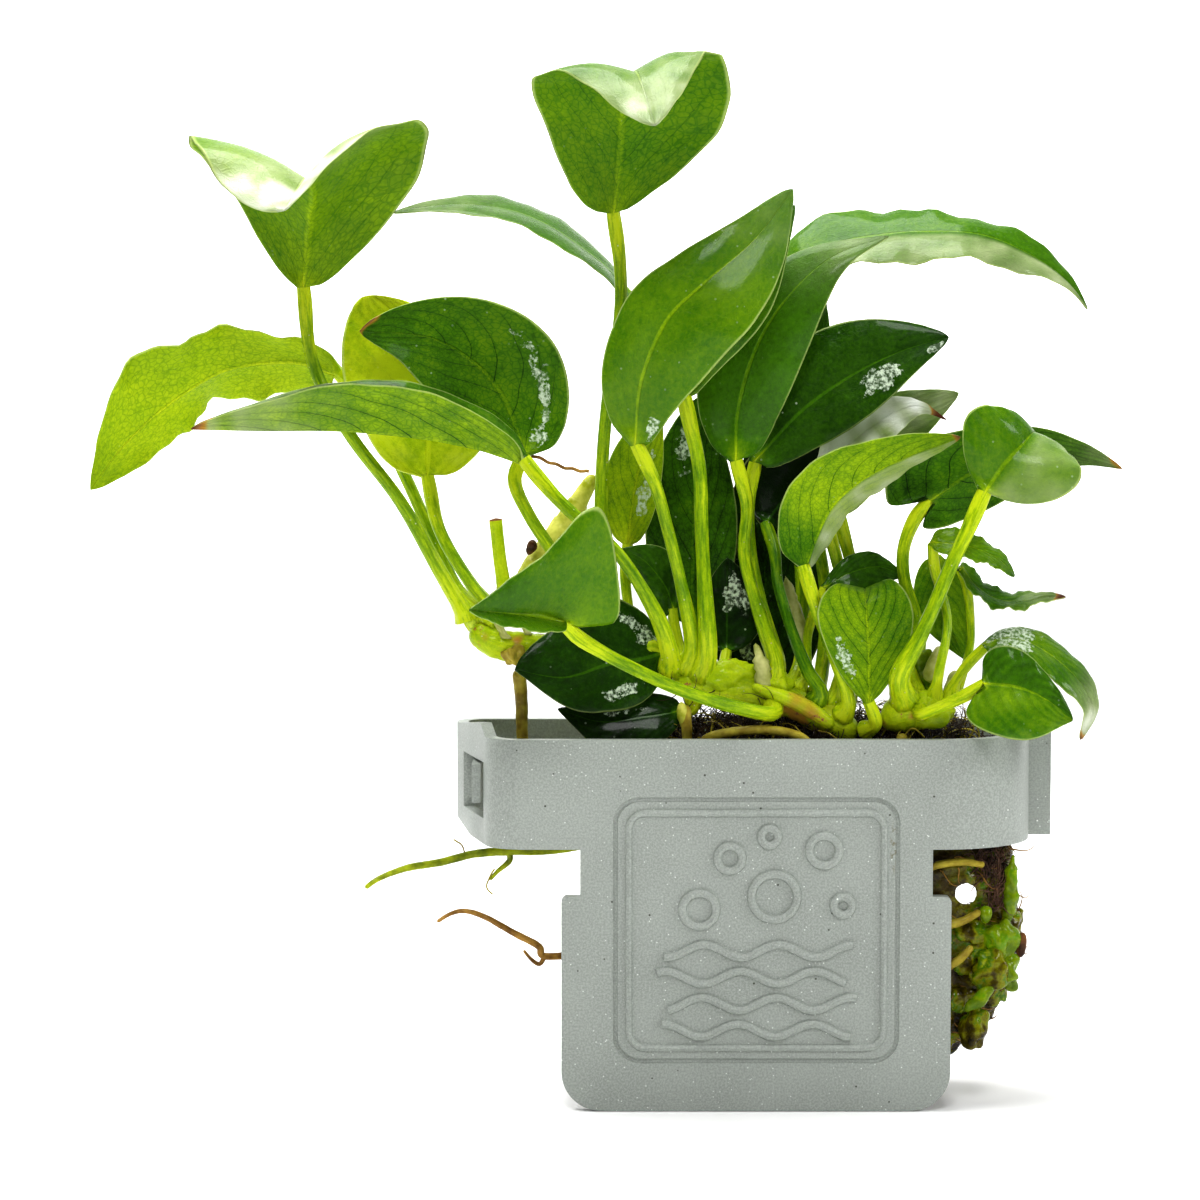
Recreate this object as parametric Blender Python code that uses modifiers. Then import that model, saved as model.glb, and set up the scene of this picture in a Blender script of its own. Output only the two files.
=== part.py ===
"""An anubias that grows on a dark stone, gripped in a moulded plastic ring with a tag plate.

Metres, +Z up. The origin is the middle of the stone's flat underside, +X is to the right of the
tag plate and +Y is away from it. The plant's places were measured in the front view, at the scale
of the tag's face, so they are given as that view shows them, with their depth behind the face.
"""

import math
from dataclasses import dataclass

import bmesh
import bpy
import numpy as np
from mathutils import Vector, noise

MM = 0.001
GAP = 0.35 * MM  # left between two pieces that touch

# The front view that the plant was measured in
VIEW_DISTANCE = 700 * MM
VIEW_RISE = math.radians(4.5)
AIM = Vector((-31.5 * MM, -20 * MM, 103.7 * MM))  # where the view's axis meets the tag's face
AIM_SEEN = (-31.5, 102.2)  # the same point in the view's own millimetres

# The holder
TAG_FACE_Y = AIM.y
TAG_THICKNESS = 3 * MM
TAG_HALF_WIDTH = 39.3 * MM
TAG_SHOULDER = 43.7 * MM
TAG_CORNER = 8 * MM
NECK_HALF_WIDTH = 35.5 * MM
BAND_BOTTOM = 53.3 * MM
BAND_TOP = 75.5 * MM
BAND_DEPTH = 40 * MM
BAND_WALL = 2.4 * MM
BAND_RIGHT = 56.9 * MM
BAND_LEFT_FRONT = -53.2 * MM  # where the slanted left wall would meet the front
BAND_LEFT_BACK = -63.2 * MM  # where it would meet the back
PANEL_BOTTOM, PANEL_TOP = 10.3 * MM, 63.5 * MM
PANEL_HALF_WIDTH = 28.4 * MM
PANEL_CORNER = 5 * MM
GROOVE_WIDTH, GROOVE_DEPTH = 0.9 * MM, 0.5 * MM
LINE_INSET, LINE_WIDTH, LINE_HEIGHT = 2.7 * MM, 0.7 * MM, 0.4 * MM
# The ring's left end rises in a hump and its lower back corner is cut: millimetres back, and height
END_HUMP = ((6.4, 74), (6.4, 75.4), (11, 77.8), (21, 76.8), (33, 75.4), (33, 74))
END_CUT = ((22, 52.6), (22, 53.4), (34, 55.4), (46, 57.6), (46, 52.6))

# The stone: height, left end, right end and half depth of each of its levels, in millimetres
STONE_LEVELS = (
    (0, -22, 30, 10.5),
    (5, -26, 37, 13),
    (10, -28.5, 43.2, 14),
    (16, -30, 49.6, 14.8),
    (22, -30.5, 52.6, 15),
    (29, -30.5, 54.8, 15),
    (37, -30, 55.2, 15),
    (45, -29.5, 54.6, 14.5),
    (52, -29, 53.2, 14),
    (62, -27, 50.5, 13),
    (69, -21, 47, 11),
    (74, -13, 41, 7.5),
)
STONE_TOP = 75 * MM
STONE_SIDES = 30
STONE_ROUGHNESS = 1.1 * MM
STONE_HOLE = (41.7, 43.5)  # where the front view looks through the gap in the stone
STONE_HOLE_RADIUS = 2.6 * MM

# Every leaf
BLADE_STATIONS = (0.03, 0.11, 0.24, 0.4, 0.57, 0.74, 0.89)
MIDRIB_HALF = 0.55 * MM
BLADE_HALF = 0.32 * MM
STALK_STEPS = 5


@dataclass(frozen=True)
class Stem:
    """A stretch of creeping stem or a root: what it runs through in the front view, and how thick."""

    name: str
    points: tuple
    radii: tuple  # in millimetres, evenly spaced from start to end
    material: str = "stem_green"
    sides: int = 8
    steps: int = 9


@dataclass(frozen=True)
class Leaf:
    """A leaf: its stalk rises from a stem, its blade follows a midrib and spreads to both sides.

    right and left are how far each half reaches where the blade is widest, as across, up and back
    in millimetres, for places that are evenly spaced from base to tip. Right is as seen on the
    glossy upper side with the tip pointing away.
    """

    name: str
    stem: str
    stalk: tuple
    blade: tuple
    right: tuple
    left: tuple
    widest: float = 0.38
    stalk_radius: float = 1.25
    foot_radius: float = 1.6
    material: str = "leaf_green"


STEMS = (
    Stem("rhizome_main", ((-17, 87, 14), (-10, 84.6, 13.5), (-1.5, 83.4, 13), (6, 82, 12.5),
                          (11.5, 79.4, 12), (16, 77.4, 11), (20, 75, 11)),
         (2.9, 3.4, 3.2, 3.5, 3.1, 3.2, 2.4)),
    Stem("rhizome_left", ((-57.5, 96.2, 16), (-52, 93.4, 16), (-45, 92.6, 17), (-35, 92, 19),
                          (-26.5, 89.6, 18), (-21.6, 87.8, 16.2)),
         (2.2, 3.1, 3.0, 2.6, 2.6, 2.2)),
    Stem("rhizome_right", ((25, 77, 10.5), (29, 79.6, 10), (33.5, 80.4, 10), (38, 80, 10)),
         (2.2, 4.0, 4.0, 2.4), steps=6),
    Stem("shoot_thick", ((-46.6, 98.6, 18.5), (-46.4, 104, 20.5), (-40.4, 114, 22.6), (-32.6, 127.2, 24)),
         (3.0, 3.3, 2.6, 1.2), steps=6),
    Stem("stalk_cut", ((-51, 97.2, 13.6), (-50.6, 103, 13.6), (-51.6, 111, 14), (-52.4, 118.6, 14)),
         (1.8, 1.5, 1.35, 1.35), sides=6, steps=4),
    Stem("leaf_sheath", ((34.6, 85.6, 11), (35.4, 89, 11.8), (36.6, 93, 12)),
         (2.2, 1.8, 0.7), "sheath_dry", sides=6, steps=4),
)

ROOTS = (
    Stem("root_into_ring", ((-47.8, 88.4, 17.4), (-47.2, 82, 17.4), (-46.9, 74, 17.4),
                            (-45, 64, 18), (-38, 57.4, 20), (-31.6, 54.4, 21)),
         (1.4, 1.2, 1.1, 0.9), "root_yellow", 6, 7),
    Stem("root_left_green", ((-33, 53.6, 16.6), (-42, 52.2, 16), (-49.3, 52, 14), (-56.7, 51.4, 12),
                             (-63.1, 49.8, 9), (-70.1, 48.6, 6), (-75.5, 46.6, 4), (-78.5, 44.6, 3)),
         (1.1, 0.95, 0.85, 0.75, 0.45), "root_yellow", 6, 9),
    Stem("root_left_green_fork", ((-49.6, 50.1, 14.2), (-51.9, 48, 14.6), (-53.6, 46.2, 15)),
         (0.7, 0.35), "root_yellow", 6, 3),
    Stem("root_left_brown", ((-32, 30.8, 18), (-36, 31.2, 17), (-42.7, 31, 15), (-43.8, 33, 14),
                             (-48.7, 35.6, 12), (-54.5, 38.8, 10), (-58.5, 40, 8), (-61.5, 39.4, 6),
                             (-64.1, 37.8, 5)),
         (0.8, 0.75, 0.7, 0.55, 0.35), "root_brown", 6, 10),
    Stem("root_left_brown_fork", ((-43.6, 29.4, 15.2), (-45.3, 30.4, 15), (-46.8, 32.2, 14.4)),
         (0.55, 0.3), "root_brown", 6, 3),
    Stem("root_arch", ((-11.6, 71, 7), (-10.4, 74.4, 6.2), (-5, 75.8, 5.8), (1.7, 76.2, 5.8),
                       (8.3, 75, 5.8), (12.4, 71.4, 6.6)),
         (0.8, 0.95, 0.95, 0.8), "root_yellow", 6, 8),
    Stem("root_pale", ((-14.6, 81.2, 10), (-14.2, 77, 8.4), (-13.9, 71.6, 8.6)),
         (1.25, 1.1, 0.9), "root_yellow", 6, 4),
    Stem("root_right_stub", ((29, 75.4, 7.4), (28.9, 74, 6.6), (28.8, 71.6, 6.6)),
         (1.2, 1.0, 0.7), "root_yellow", 6, 3),
    Stem("root_stone_upper", ((33.4, 48.2, 4.4), (37, 49.4, 4.5), (41, 49.8, 4.8), (45.5, 49.2, 5.6)),
         (0.7, 0.8, 0.6), "root_yellow", 6, 5),
    Stem("root_stone_middle", ((33, 36.4, 4.4), (37, 37, 4.5), (41, 38, 4.7), (44.6, 40, 5.6)),
         (0.8, 0.9, 0.7), "root_yellow", 6, 5),
    Stem("root_stone_lower", ((32, 27.2, 4.4), (36, 28, 4.5), (40, 30, 4.7), (43, 33, 5.4)),
         (0.7, 0.9, 0.7), "root_yellow", 6, 5),
)

LEAVES = (
    Leaf("leaf_high_left", "rhizome_left",
         ((-58.6, 99.6, 15.5), (-63.5, 108, 15), (-71.5, 122, 14), (-82, 136, 12), (-89, 150, 10.5),
          (-90.8, 164.8, 9)),
         ((-89.9, 174.5, 5), (-88.9, 183.6, -4), (-90.5, 186, -14), (-94.6, 180, -27)),
         ((-9, 4, 2), (-17.5, 11, 0), (-25, 10, -2), (-24.5, 4, -2), (-24, -6, 0)),
         ((10, 1, 3), (20, 8.5, 3), (23, 13, 3), (17.5, 14, 2), (10, 8, 1))),
    Leaf("leaf_high_centre", "rhizome_left",
         ((-31, 98, 18.6), (-31.2, 110, 19), (-31.2, 126, 19), (-30, 142, 18), (-27.6, 158, 16.5),
          (-27.5, 169, 15), (-28.9, 179.8, 13)),
         ((-27.7, 190, 8), (-26.7, 202.6, -2), (-24.4, 207.6, -12), (-20.4, 197, -28)),
         ((-10, -1, 2), (-13.5, 0.3, 1), (-18.5, 2.6, -3), (-13.5, -2, 0), (-12, -3, 0)),
         ((8, 1, 3), (19.5, 1.8, 3), (20.5, 4.6, 3), (16, 5.6, 1), (14, 6, 0))),
    Leaf("leaf_far_left", "rhizome_left",
         ((-55.6, 99.6, 21), (-60.5, 105, 26), (-66, 117, 30), (-70.5, 127, 31), (-77, 140, 31.4),
          (-84, 147.7, 30)),
         ((-91.5, 149.7, 29), (-99.5, 149.6, 28), (-106.5, 148.2, 26.6), (-112.5, 145, 25),
          (-120.5, 139.2, 23), (-127.5, 132.2, 21.6), (-133.5, 124.2, 20)),
         ((-2, -8, 4), (0, -6.8, 5), (1, -5.5, 6), (7, -6, 5), (8, -6, 3)),
         ((1, 5, -4), (-1, 6.6, -5), (-2.6, 9.6, -6), (-5.5, 15, -6), (-5, 8, -3)),
         material="leaf_pale"),
    Leaf("leaf_left_long", "rhizome_main",
         ((-17.8, 92.4, 8.6), (-20.6, 100, 6.6), (-28, 111.6, 4.4), (-38, 120.4, 4), (-43.6, 126.4, 4.4),
          (-46.7, 130.4, 5)),
         ((-55.5, 132.6, 4), (-67.5, 134.8, 2), (-83.5, 136.2, 0), (-99.5, 136.2, -3),
          (-113.4, 136.4, -5)),
         ((1, 9, 7), (0, 10.5, 9), (-1, 8, 7)), ((0, 8, -6), (0, 10, -8), (-1, 7, -5)),
         foot_radius=2.1, material="leaf_pale"),
    Leaf("leaf_left_oval", "rhizome_left",
         ((-33, 97.6, 14.6), (-36.5, 104, 14), (-41.1, 112, 13.4), (-45.6, 119, 13.6),
          (-48.6, 126, 14.6), (-46.6, 131.6, 15.4)),
         ((-50.5, 142, 15.4), (-56, 149, 15), (-65.5, 154.6, 15), (-79.6, 156, 15.6)),
         ((-7, -4, -1.6), (-9, -6, -2), (-3, -6, -1)), ((12, -1, -1), (13, 8, -2), (4, 14, 0))),
    Leaf("leaf_left_back", "rhizome_left",
         ((-52.4, 99.6, 18.8), (-57, 105, 20.6), (-63.5, 116, 23.4), (-66, 127, 25)),
         ((-66, 138.2, 26), (-68, 150.2, 27), (-72.5, 159.2, 26.6), (-77, 163.2, 26)),
         ((11, -1, 1), (14, 1, 1), (14, 3, 2), (10, 4, 1), (6, 4, 0)),
         ((-12, 0, 0), (-13.4, 0, -1), (-16.4, 0, -2), (-18, 0, -2.6), (-18, 3, -3)),
         material="leaf_pale"),
    Leaf("leaf_back_pale", "rhizome_main",
         ((-19.6, 92, 22), (-20.5, 110, 31), (-21, 132, 34.5), (-22, 150, 35), (-25.6, 162.6, 35)),
         ((-30, 168.2, 36), (-36, 173, 37), (-42, 177, 38), (-49.5, 180, 39), (-58, 181.2, 40),
          (-66, 180.8, 40.6), (-73, 179.6, 41)),
         ((0, 2.6, 7), (0, 2.9, 8), (0, 3, 6)), ((0, -2.4, -7), (0, -2.8, -8), (0, -2.4, -6)),
         material="leaf_pale"),
    Leaf("leaf_centre_glossy", "rhizome_main",
         ((-13, 93, 10.6), (-15, 104, 8.4), (-18.3, 117.6, 6), (-20.6, 125.6, 4),
          (-24.3, 133.6, 2)),
         ((-23.2, 146, -1), (-18.3, 158, -3), (-10.9, 165.4, -3.4), (-0.9, 174, -1), (7.1, 184.4, 4)),
         ((4.6, -2.4, 0), (11, -8, -2), (7, -5, -1)), ((-9, 3, 1), (-6.4, 5.6, 2), (-4, 7, 1)),
         foot_radius=1.9),
    Leaf("leaf_centre_second", "rhizome_main",
         ((-10, 92, 9.6), (-10.4, 102, 9), (-11.1, 114, 9), (-11.6, 128, 8.6), (-13.4, 137, 8),
          (-14.9, 143.6, 7)),
         ((-12.4, 152, 6), (-7.6, 160.6, 5.6), (-1, 170, 6), (4.6, 177.6, 7), (7.5, 181.2, 8)),
         ((3, -2, -1), (7.6, -4.6, -1.6), (5, -4, -1)), ((-5, 2, 1), (-7, 5, 2), (-5, 5, 1)),
         stalk_radius=1.4, foot_radius=2.3),
    Leaf("leaf_centre_right", "rhizome_main",
         ((3.6, 90, 11.4), (1.6, 96, 11.6), (-1, 104, 12), (-2.7, 112, 12.4), (-2.1, 121, 12),
          (-4.3, 130.2, 11.4)),
         ((-3.9, 140, 11), (-0.5, 152, 10.6), (5.5, 162, 10.6), (14.5, 170.4, 11.4), (26.3, 175, 13)),
         ((9, 1, 1), (8.6, -3, -1), (1, -3, -4)), ((-9, 2, 2), (-8, 5, 3), (-2, 3, 5)),
         foot_radius=2.2),
    Leaf("leaf_right_dark", "rhizome_main",
         ((4, 90, 17), (0.6, 102, 18), (-1.4, 112, 18), (-1.8, 122, 17.6), (-0.4, 129.8, 17)),
         ((8.5, 139.6, 16), (18.5, 146.8, 15), (28.5, 151.8, 14), (38.3, 154.8, 13)),
         ((5, -3, -2), (5.4, -7, -3), (4, -6, -2)), ((-4, 7, 2), (-4, 11, 2), (0, 9, 2))),
    Leaf("leaf_top_right", "rhizome_main",
         ((9, 92, 22), (8.6, 110, 28), (6.2, 134, 30), (4, 150, 29), (3.4, 164.4, 27)),
         ((9.5, 171.2, 26.6), (17.5, 173.8, 26), (24.5, 175, 25), (32.5, 175.7, 24), (44.5, 175.2, 22),
          (54.5, 171.2, 20.6), (61.5, 166.2, 19.4), (66.1, 160.2, 18)),
         ((1, -3, -4), (0, -5.2, -6), (0, -5.8, -7), (0, -6.5, -5), (2, -4, -4)),
         ((-3, 5, 5), (0, 6.2, 7), (0, 4, 6), (2, 4.4, 5), (2, 5, 4))),
    Leaf("leaf_small_back", "rhizome_main",
         ((12.6, 86.6, 19), (13.6, 104, 24.6), (9.6, 126, 24.8), (6.9, 138, 24.8)),
         ((9.5, 148, 24.4), (12, 157, 24), (13.3, 164.4, 23)),
         ((4, 0, 1), (4.4, -1, 1), (2, 0, 0)), ((-4, 1, 1), (-4.4, 1, 1), (-3, 0, 0))),
    Leaf("leaf_right_pale", "rhizome_main",
         ((18.6, 82.6, 17.6), (20, 102, 25), (15.8, 121, 25)),
         ((20, 130.6, 24), (28, 138, 23), (34.6, 141.4, 22), (40.3, 143.6, 21)),
         ((3, -4, -1), (4, -7, -1), (3, -5, 0)), ((-3, 4, 1), (-3, 6, 2), (0, 5, 1)),
         material="leaf_pale"),
    Leaf("leaf_right_withered", "rhizome_main",
         ((15.8, 84.6, 13.8), (18.4, 98, 20.6), (12.8, 122, 18.6)),
         ((16, 130.6, 18), (23, 137, 17.4), (31.3, 141, 17), (37.9, 138.2, 16.6)),
         ((2, -3, -1), (3, -4, -1), (1, -2, 0)), ((-2, 3, 1), (-3, 4, 1), (0, 2, 1)),
         foot_radius=1.3, material="leaf_withered"),
    Leaf("leaf_right_ribbon", "rhizome_main",
         ((18.2, 81.6, 7.4), (17.2, 86, 6.6), (14.5, 93, 6.6), (11.3, 102, 7), (9.1, 109.2, 7.6)),
         ((11.6, 114.6, 7.8), (14.9, 121, 7.6), (21, 126.4, 7), (30, 131, 6.4), (40.7, 134.8, 6)),
         ((-9, 2, -2), (-8, 5, -3), (-2, 6, -2)), ((2.2, -2.4, 5), (2.4, -3.4, 5), (2, -3, 3)),
         material="leaf_pale"),
    Leaf("leaf_right_oval", "rhizome_right",
         ((30.4, 90, 13.6), (31.7, 98, 15), (29.4, 106, 15.6), (29.2, 112.4, 16), (31.4, 118.4, 16.4),
          (34.5, 122.2, 16)),
         ((39.7, 125.6, 15.8), (44.5, 128.2, 15.8), (56.5, 132.4, 15.6), (64.5, 131, 15),
          (73.1, 128.4, 14)),
         ((-12, -4, 0), (-14.5, 3.7, 0), (-9, 6, -1), (0, 5.5, -1), (-1, 7, -1)),
         ((-5, -8, 0), (-2, -9.3, 1), (0, -8, 1), (1, -4, 1), (0, -2, 1)), widest=0.26),
    Leaf("leaf_right_bright", "rhizome_right",
         ((28.4, 87, 4), (31.5, 93, 3.2), (34.7, 99.6, 2.6), (38.5, 108.6, 2.4), (42.1, 116.2, 2.4),
          (45.4, 123.8, 3)),
         ((49, 129, 2.6), (52.5, 132.8, 3.6), (54.8, 135.4, 6.6), (55.6, 135.6, 11)),
         ((12, -5, -1), (13, -5, -2), (9, -5, 0)), ((-6, 7, 0), (-8, 9, -1), (-6, 6, -2)),
         stalk_radius=1.4, foot_radius=2.5, material="leaf_pale"),
    Leaf("leaf_right_curled", "rhizome_right",
         ((36.4, 88.4, 4.8), (38, 98, 9), (35.6, 108, 11), (35, 113.4, 10)),
         ((39.7, 113.2, 8.6), (44.5, 112, 7.6), (48.6, 109.9, 7), (51.4, 106.8, 7)),
         ((0, -2, -2), (0, -2.2, -3), (-2, -2, -2)), ((0, 4, 2), (0.6, 2.4, 3.4), (2, 2, 3)),
         stalk_radius=0.9, foot_radius=1.1, material="leaf_pale"),
    Leaf("leaf_right_twisted", "rhizome_right",
         ((40.6, 86, 14), (42.6, 94, 14.6), (42, 104, 13.6), (40.4, 108.6, 13)),
         ((43.7, 104.8, 11.6), (47.9, 102.2, 10), (53, 101.8, 9), (57.4, 102.6, 8.4),
          (61.7, 102.8, 8)),
         ((0, -2, -2), (0, -1.4, -3), (0, -1, -3)), ((1, 3, 2), (0, 2, 3), (0, 2.4, 2)),
         stalk_radius=0.8, foot_radius=1.0, material="leaf_pale"),
    Leaf("leaf_right_hanging", "rhizome_right",
         ((32.4, 87.4, 18.4), (33.4, 99, 22), (34.4, 109, 21.6), (36.4, 110.4, 19.4)),
         ((37, 104, 18.6), (38.4, 97, 18.4), (42.3, 89.8, 17.6)),
         ((4, 0, 1), (5, 2, 1), (3, 2, 0)), ((-5, 1, 1), (-5.5, -1, 1), (-2, -2, 0)),
         stalk_radius=0.9, foot_radius=1.1),
    Leaf("leaf_low_drooping", "rhizome_right",
         ((39.4, 85.4, 8), (42.1, 89.4, 7.4), (45.5, 92.8, 6.4)),
         ((50.5, 94.4, 5), (56.5, 92.4, 3.6), (63.4, 86.8, 2.4), (66.8, 80.6, 2.4), (64.6, 74.2, 3)),
         ((0, -2, -4), (-2, -3, -4), (-4, 0, -3)), ((0, 2.4, 4), (2.4, 2, 4), (3.4, 0, 3)),
         stalk_radius=0.9, foot_radius=1.2, material="leaf_pale"),
    Leaf("leaf_low_front", "rhizome_right",
         ((33, 79.4, 3), (37, 81, 2.2), (41.3, 83, 1.2), (45.5, 85.4, 0)),
         ((51.9, 84.8, -3), (57.5, 82.4, -4), (63.1, 78.2, -4)),
         ((-7, -7, -1), (-1, -10, -2), (1, -5, 0)), ((-2, 6, 2), (-1, 8, 2), (2, 5, 2)),
         widest=0.3, stalk_radius=1.1, foot_radius=1.2),
    Leaf("leaf_heart_underside", "rhizome_main",
         ((23.6, 77.6, 6.4), (22.2, 82, 5)),
         ((22.3, 90, 5.4), (21.9, 97.6, 5.6), (21.6, 103, 7.4), (21.5, 104.4, 12)),
         ((-8, 2, 0), (-10, 4, -1), (-9, 3, 0)), ((7, 2, 0), (9, 4, 0), (8, 5, 0)),
         widest=0.5, stalk_radius=1.1, foot_radius=1.2, material="leaf_pale"),
    Leaf("leaf_dark_right", "rhizome_main",
         ((9.8, 88, 15), (10.2, 96, 16.4), (13.5, 104.6, 16.4)),
         ((18.5, 107.6, 17), (24, 108.8, 18.8), (29.4, 107, 20)),
         ((0, -5, -2), (0, -5, -2), (0, -3, -1)), ((0, 3, 1), (0, 3.4, 1), (0, 3, 1)),
         stalk_radius=0.9, foot_radius=1.1),
    Leaf("leaf_front_left", "rhizome_main",
         ((2.6, 79.4, 5.6), (-7.3, 81.6, 0), (-15.3, 84.2, -4), (-21.7, 87, -8), (-29.3, 90.8, -12),
          (-35.7, 94.6, -14), (-38.7, 97.6, -15)),
         ((-44, 98.6, -20), (-51, 99.5, -27), (-57.7, 100.2, -34)),
         ((12, -1, 2), (11.7, 21.5, 2), (7.5, 15.5, 2), (4.4, 11, 1), (3, 7, 0)),
         ((2, -1, -5), (0, -2.5, -6), (-1, -4, -4)), widest=0.15),
    Leaf("leaf_dark_low_left", "rhizome_left",
         ((-21.4, 93, 14), (-18.4, 91.8, 14.4)),
         ((-23, 90.4, 12.6), (-30, 89.2, 10.4), (-38.7, 86.6, 8.6), (-48.6, 88.2, 7.6)),
         ((-2, 10, 2), (0, 14, 3), (0, 14, 3)), ((0, -10, -2), (0, -8.5, -2.6), (0, -3.5, -2)),
         stalk_radius=1.0, foot_radius=1.1),
    Leaf("leaf_dark_lowest", "rhizome_main",
         ((-13.4, 80.4, 13.4), (-15.4, 79.8, 13)),
         ((-22, 78.8, 12.2), (-31.5, 77.8, 11.6), (-40, 80.4, 11.4)),
         ((0, 4, 3), (0, 4.6, 3), (0, 3, 2)), ((0, -5, -2), (0, -7, -2), (0, -4, -2)),
         stalk_radius=1.0, foot_radius=1.1),
    Leaf("leaf_inner_bright", "rhizome_left",
         ((-25.4, 96, 21.6), (-26.4, 106, 24), (-26, 113.4, 24)),
         ((-25.2, 120, 24), (-24, 127, 24.4), (-22, 134, 25), (-19.6, 141, 25.6)),
         ((-4.6, 1, 0), (-6.6, 1, 0), (-8.6, 1, 0)), ((4, 0, 0), (5, 0, 0), (4, 0, 0)),
         stalk_radius=1.0, foot_radius=1.1, material="leaf_pale"),
    Leaf("leaf_inner_dark", "rhizome_main",
         ((-12.6, 90, 19.4), (-12.8, 94, 22), (-13, 97.4, 23)),
         ((-13, 106, 25.4), (-12.8, 119, 28.4), (-12.2, 132, 30), (-11.4, 143, 31)),
         ((-8.6, 1, 0), (-10, 1, 0), (-12, 1, 0)), ((8, 1, 0), (9, 1, 0), (7, 1, 0)),
         stalk_radius=1.0, foot_radius=1.1),
    Leaf("leaf_inner_small", "rhizome_main",
         ((-15.4, 91.6, 17), (-16.6, 97, 18), (-17, 100.6, 18)),
         ((-18.6, 105, 17.6), (-22.6, 110, 17.4), (-27.1, 112.4, 17)),
         ((3.4, 4, 1), (2.4, 4.6, 1), (0, 3, 0)), ((-2, -4, 0), (-1, -5, 0), (0, -3, 0)),
         stalk_radius=0.9, foot_radius=1.1),
    Leaf("leaf_inner_glossy", "rhizome_main",
         ((-6.6, 89.4, 18), (-6.2, 92, 20)),
         ((-6.2, 98, 20.6), (-6.2, 104, 21), (-6, 110.6, 21)),
         ((6, 0, 0), (8, 1, 0), (5, 1, 0)), ((-4, 0, 0), (-5, 1, 0), (-4, 1, 0)),
         stalk_radius=1.0, foot_radius=1.1),
    Leaf("leaf_black_behind", "rhizome_main",
         ((12.6, 84, 9.6), (10.1, 88, 10.4), (6.9, 96, 12), (4.2, 105, 14.6), (3.4, 112, 18.4),
          (1.6, 117.6, 21.4)),
         ((5.6, 122.6, 21.4), (10.6, 128.4, 21.2), (16.5, 134.6, 21.2)),
         ((5, -4, 0), (6, -6, 0), (3, -4, 0)), ((-8, 4, 1), (-9, 6, 1), (-4, 5, 1)),
         stalk_radius=1.1),
    Leaf("leaf_behind_centre", "rhizome_main",
         ((-1, 84.6, 18), (-0.2, 84.2, 23), (0.2, 83.4, 27.6)),
         ((0.6, 87.6, 29.4), (1.4, 99, 31.4), (1.2, 115, 33), (-1, 134, 34.4)),
         ((-11, 1, 0), (-11, 1, 0), (-7, 1, 0)), ((12, -1, 0), (12, 0, 0), (9, 0, 0)),
         stalk_radius=1.0, foot_radius=1.1),
)

# Base colour, roughness and metallic value of each material
MATERIALS = {
    "holder_plastic": ((0.38, 0.42, 0.40, 1), 0.55),
    "stone_dark": ((0.045, 0.03, 0.018, 1), 0.8),
    "stem_green": ((0.42, 0.52, 0.04, 1), 0.35),
    "sheath_dry": ((0.45, 0.42, 0.16, 1), 0.5),
    "root_yellow": ((0.48, 0.45, 0.06, 1), 0.4),
    "root_brown": ((0.28, 0.17, 0.05, 1), 0.6),
    "leaf_green": ((0.035, 0.14, 0.012, 1), 0.3),
    "leaf_pale": ((0.16, 0.34, 0.03, 1), 0.35),
    "leaf_withered": ((0.25, 0.22, 0.12, 1), 0.5),
}


def clear_scene():
    """Removes whatever the scene holds."""
    for thing in list(bpy.data.objects):
        bpy.data.objects.remove(thing, do_unlink=True)


def make_collections():
    """One collection for the object's pieces, one for the cutters."""
    pieces = bpy.data.collections.new("anubias_on_stone")
    cutters = bpy.data.collections.new("cutters")
    for collection in (pieces, cutters):
        bpy.context.scene.collection.children.link(collection)
    return pieces, cutters


def make_materials():
    """A Principled material for each finish."""
    made = {}
    for name, (colour, roughness) in MATERIALS.items():
        material = bpy.data.materials.new(name)
        material.use_nodes = True
        shader = material.node_tree.nodes["Principled BSDF"]
        shader.inputs["Base Color"].default_value = colour
        shader.inputs["Roughness"].default_value = roughness
        made[name] = material
    return made


def seen(x, z, depth):
    """The world place of a point that the front view shows at x and z, depth behind the face."""
    forward = Vector((0, math.cos(VIEW_RISE), -math.sin(VIEW_RISE)))
    up = Vector((0, math.sin(VIEW_RISE), math.cos(VIEW_RISE)))
    eye = AIM - VIEW_DISTANCE * forward
    ray = VIEW_DISTANCE * forward
    ray += Vector((1, 0, 0)) * (x - AIM_SEEN[0]) * MM + up * (z - AIM_SEEN[1]) * MM
    reach = (TAG_FACE_Y + depth * MM - eye.y) / ray.y
    return np.array(eye + reach * ray)


def smooth_line(points, count):
    """count places, evenly spaced, on a Catmull-Rom line through the points."""
    points = np.asarray(points, float)
    padded = np.vstack((2 * points[0] - points[1], points, 2 * points[-1] - points[-2]))
    dense = []
    for before, start, end, after in zip(padded, padded[1:], padded[2:], padded[3:]):
        for t in np.linspace(0, 1, 16, endpoint=False):
            bend = 2 * before - 5 * start + 4 * end - after
            turn = 3 * start - before - 3 * end + after
            dense.append(0.5 * (2 * start + (end - before) * t + bend * t**2 + turn * t**3))
    dense.append(points[-1])
    dense = np.array(dense)
    run = np.concatenate(([0], np.cumsum(np.linalg.norm(np.diff(dense, axis=0), axis=1))))
    at = np.linspace(0, run[-1], count)
    return np.column_stack([np.interp(at, run, dense[:, axis]) for axis in range(3)])


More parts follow.
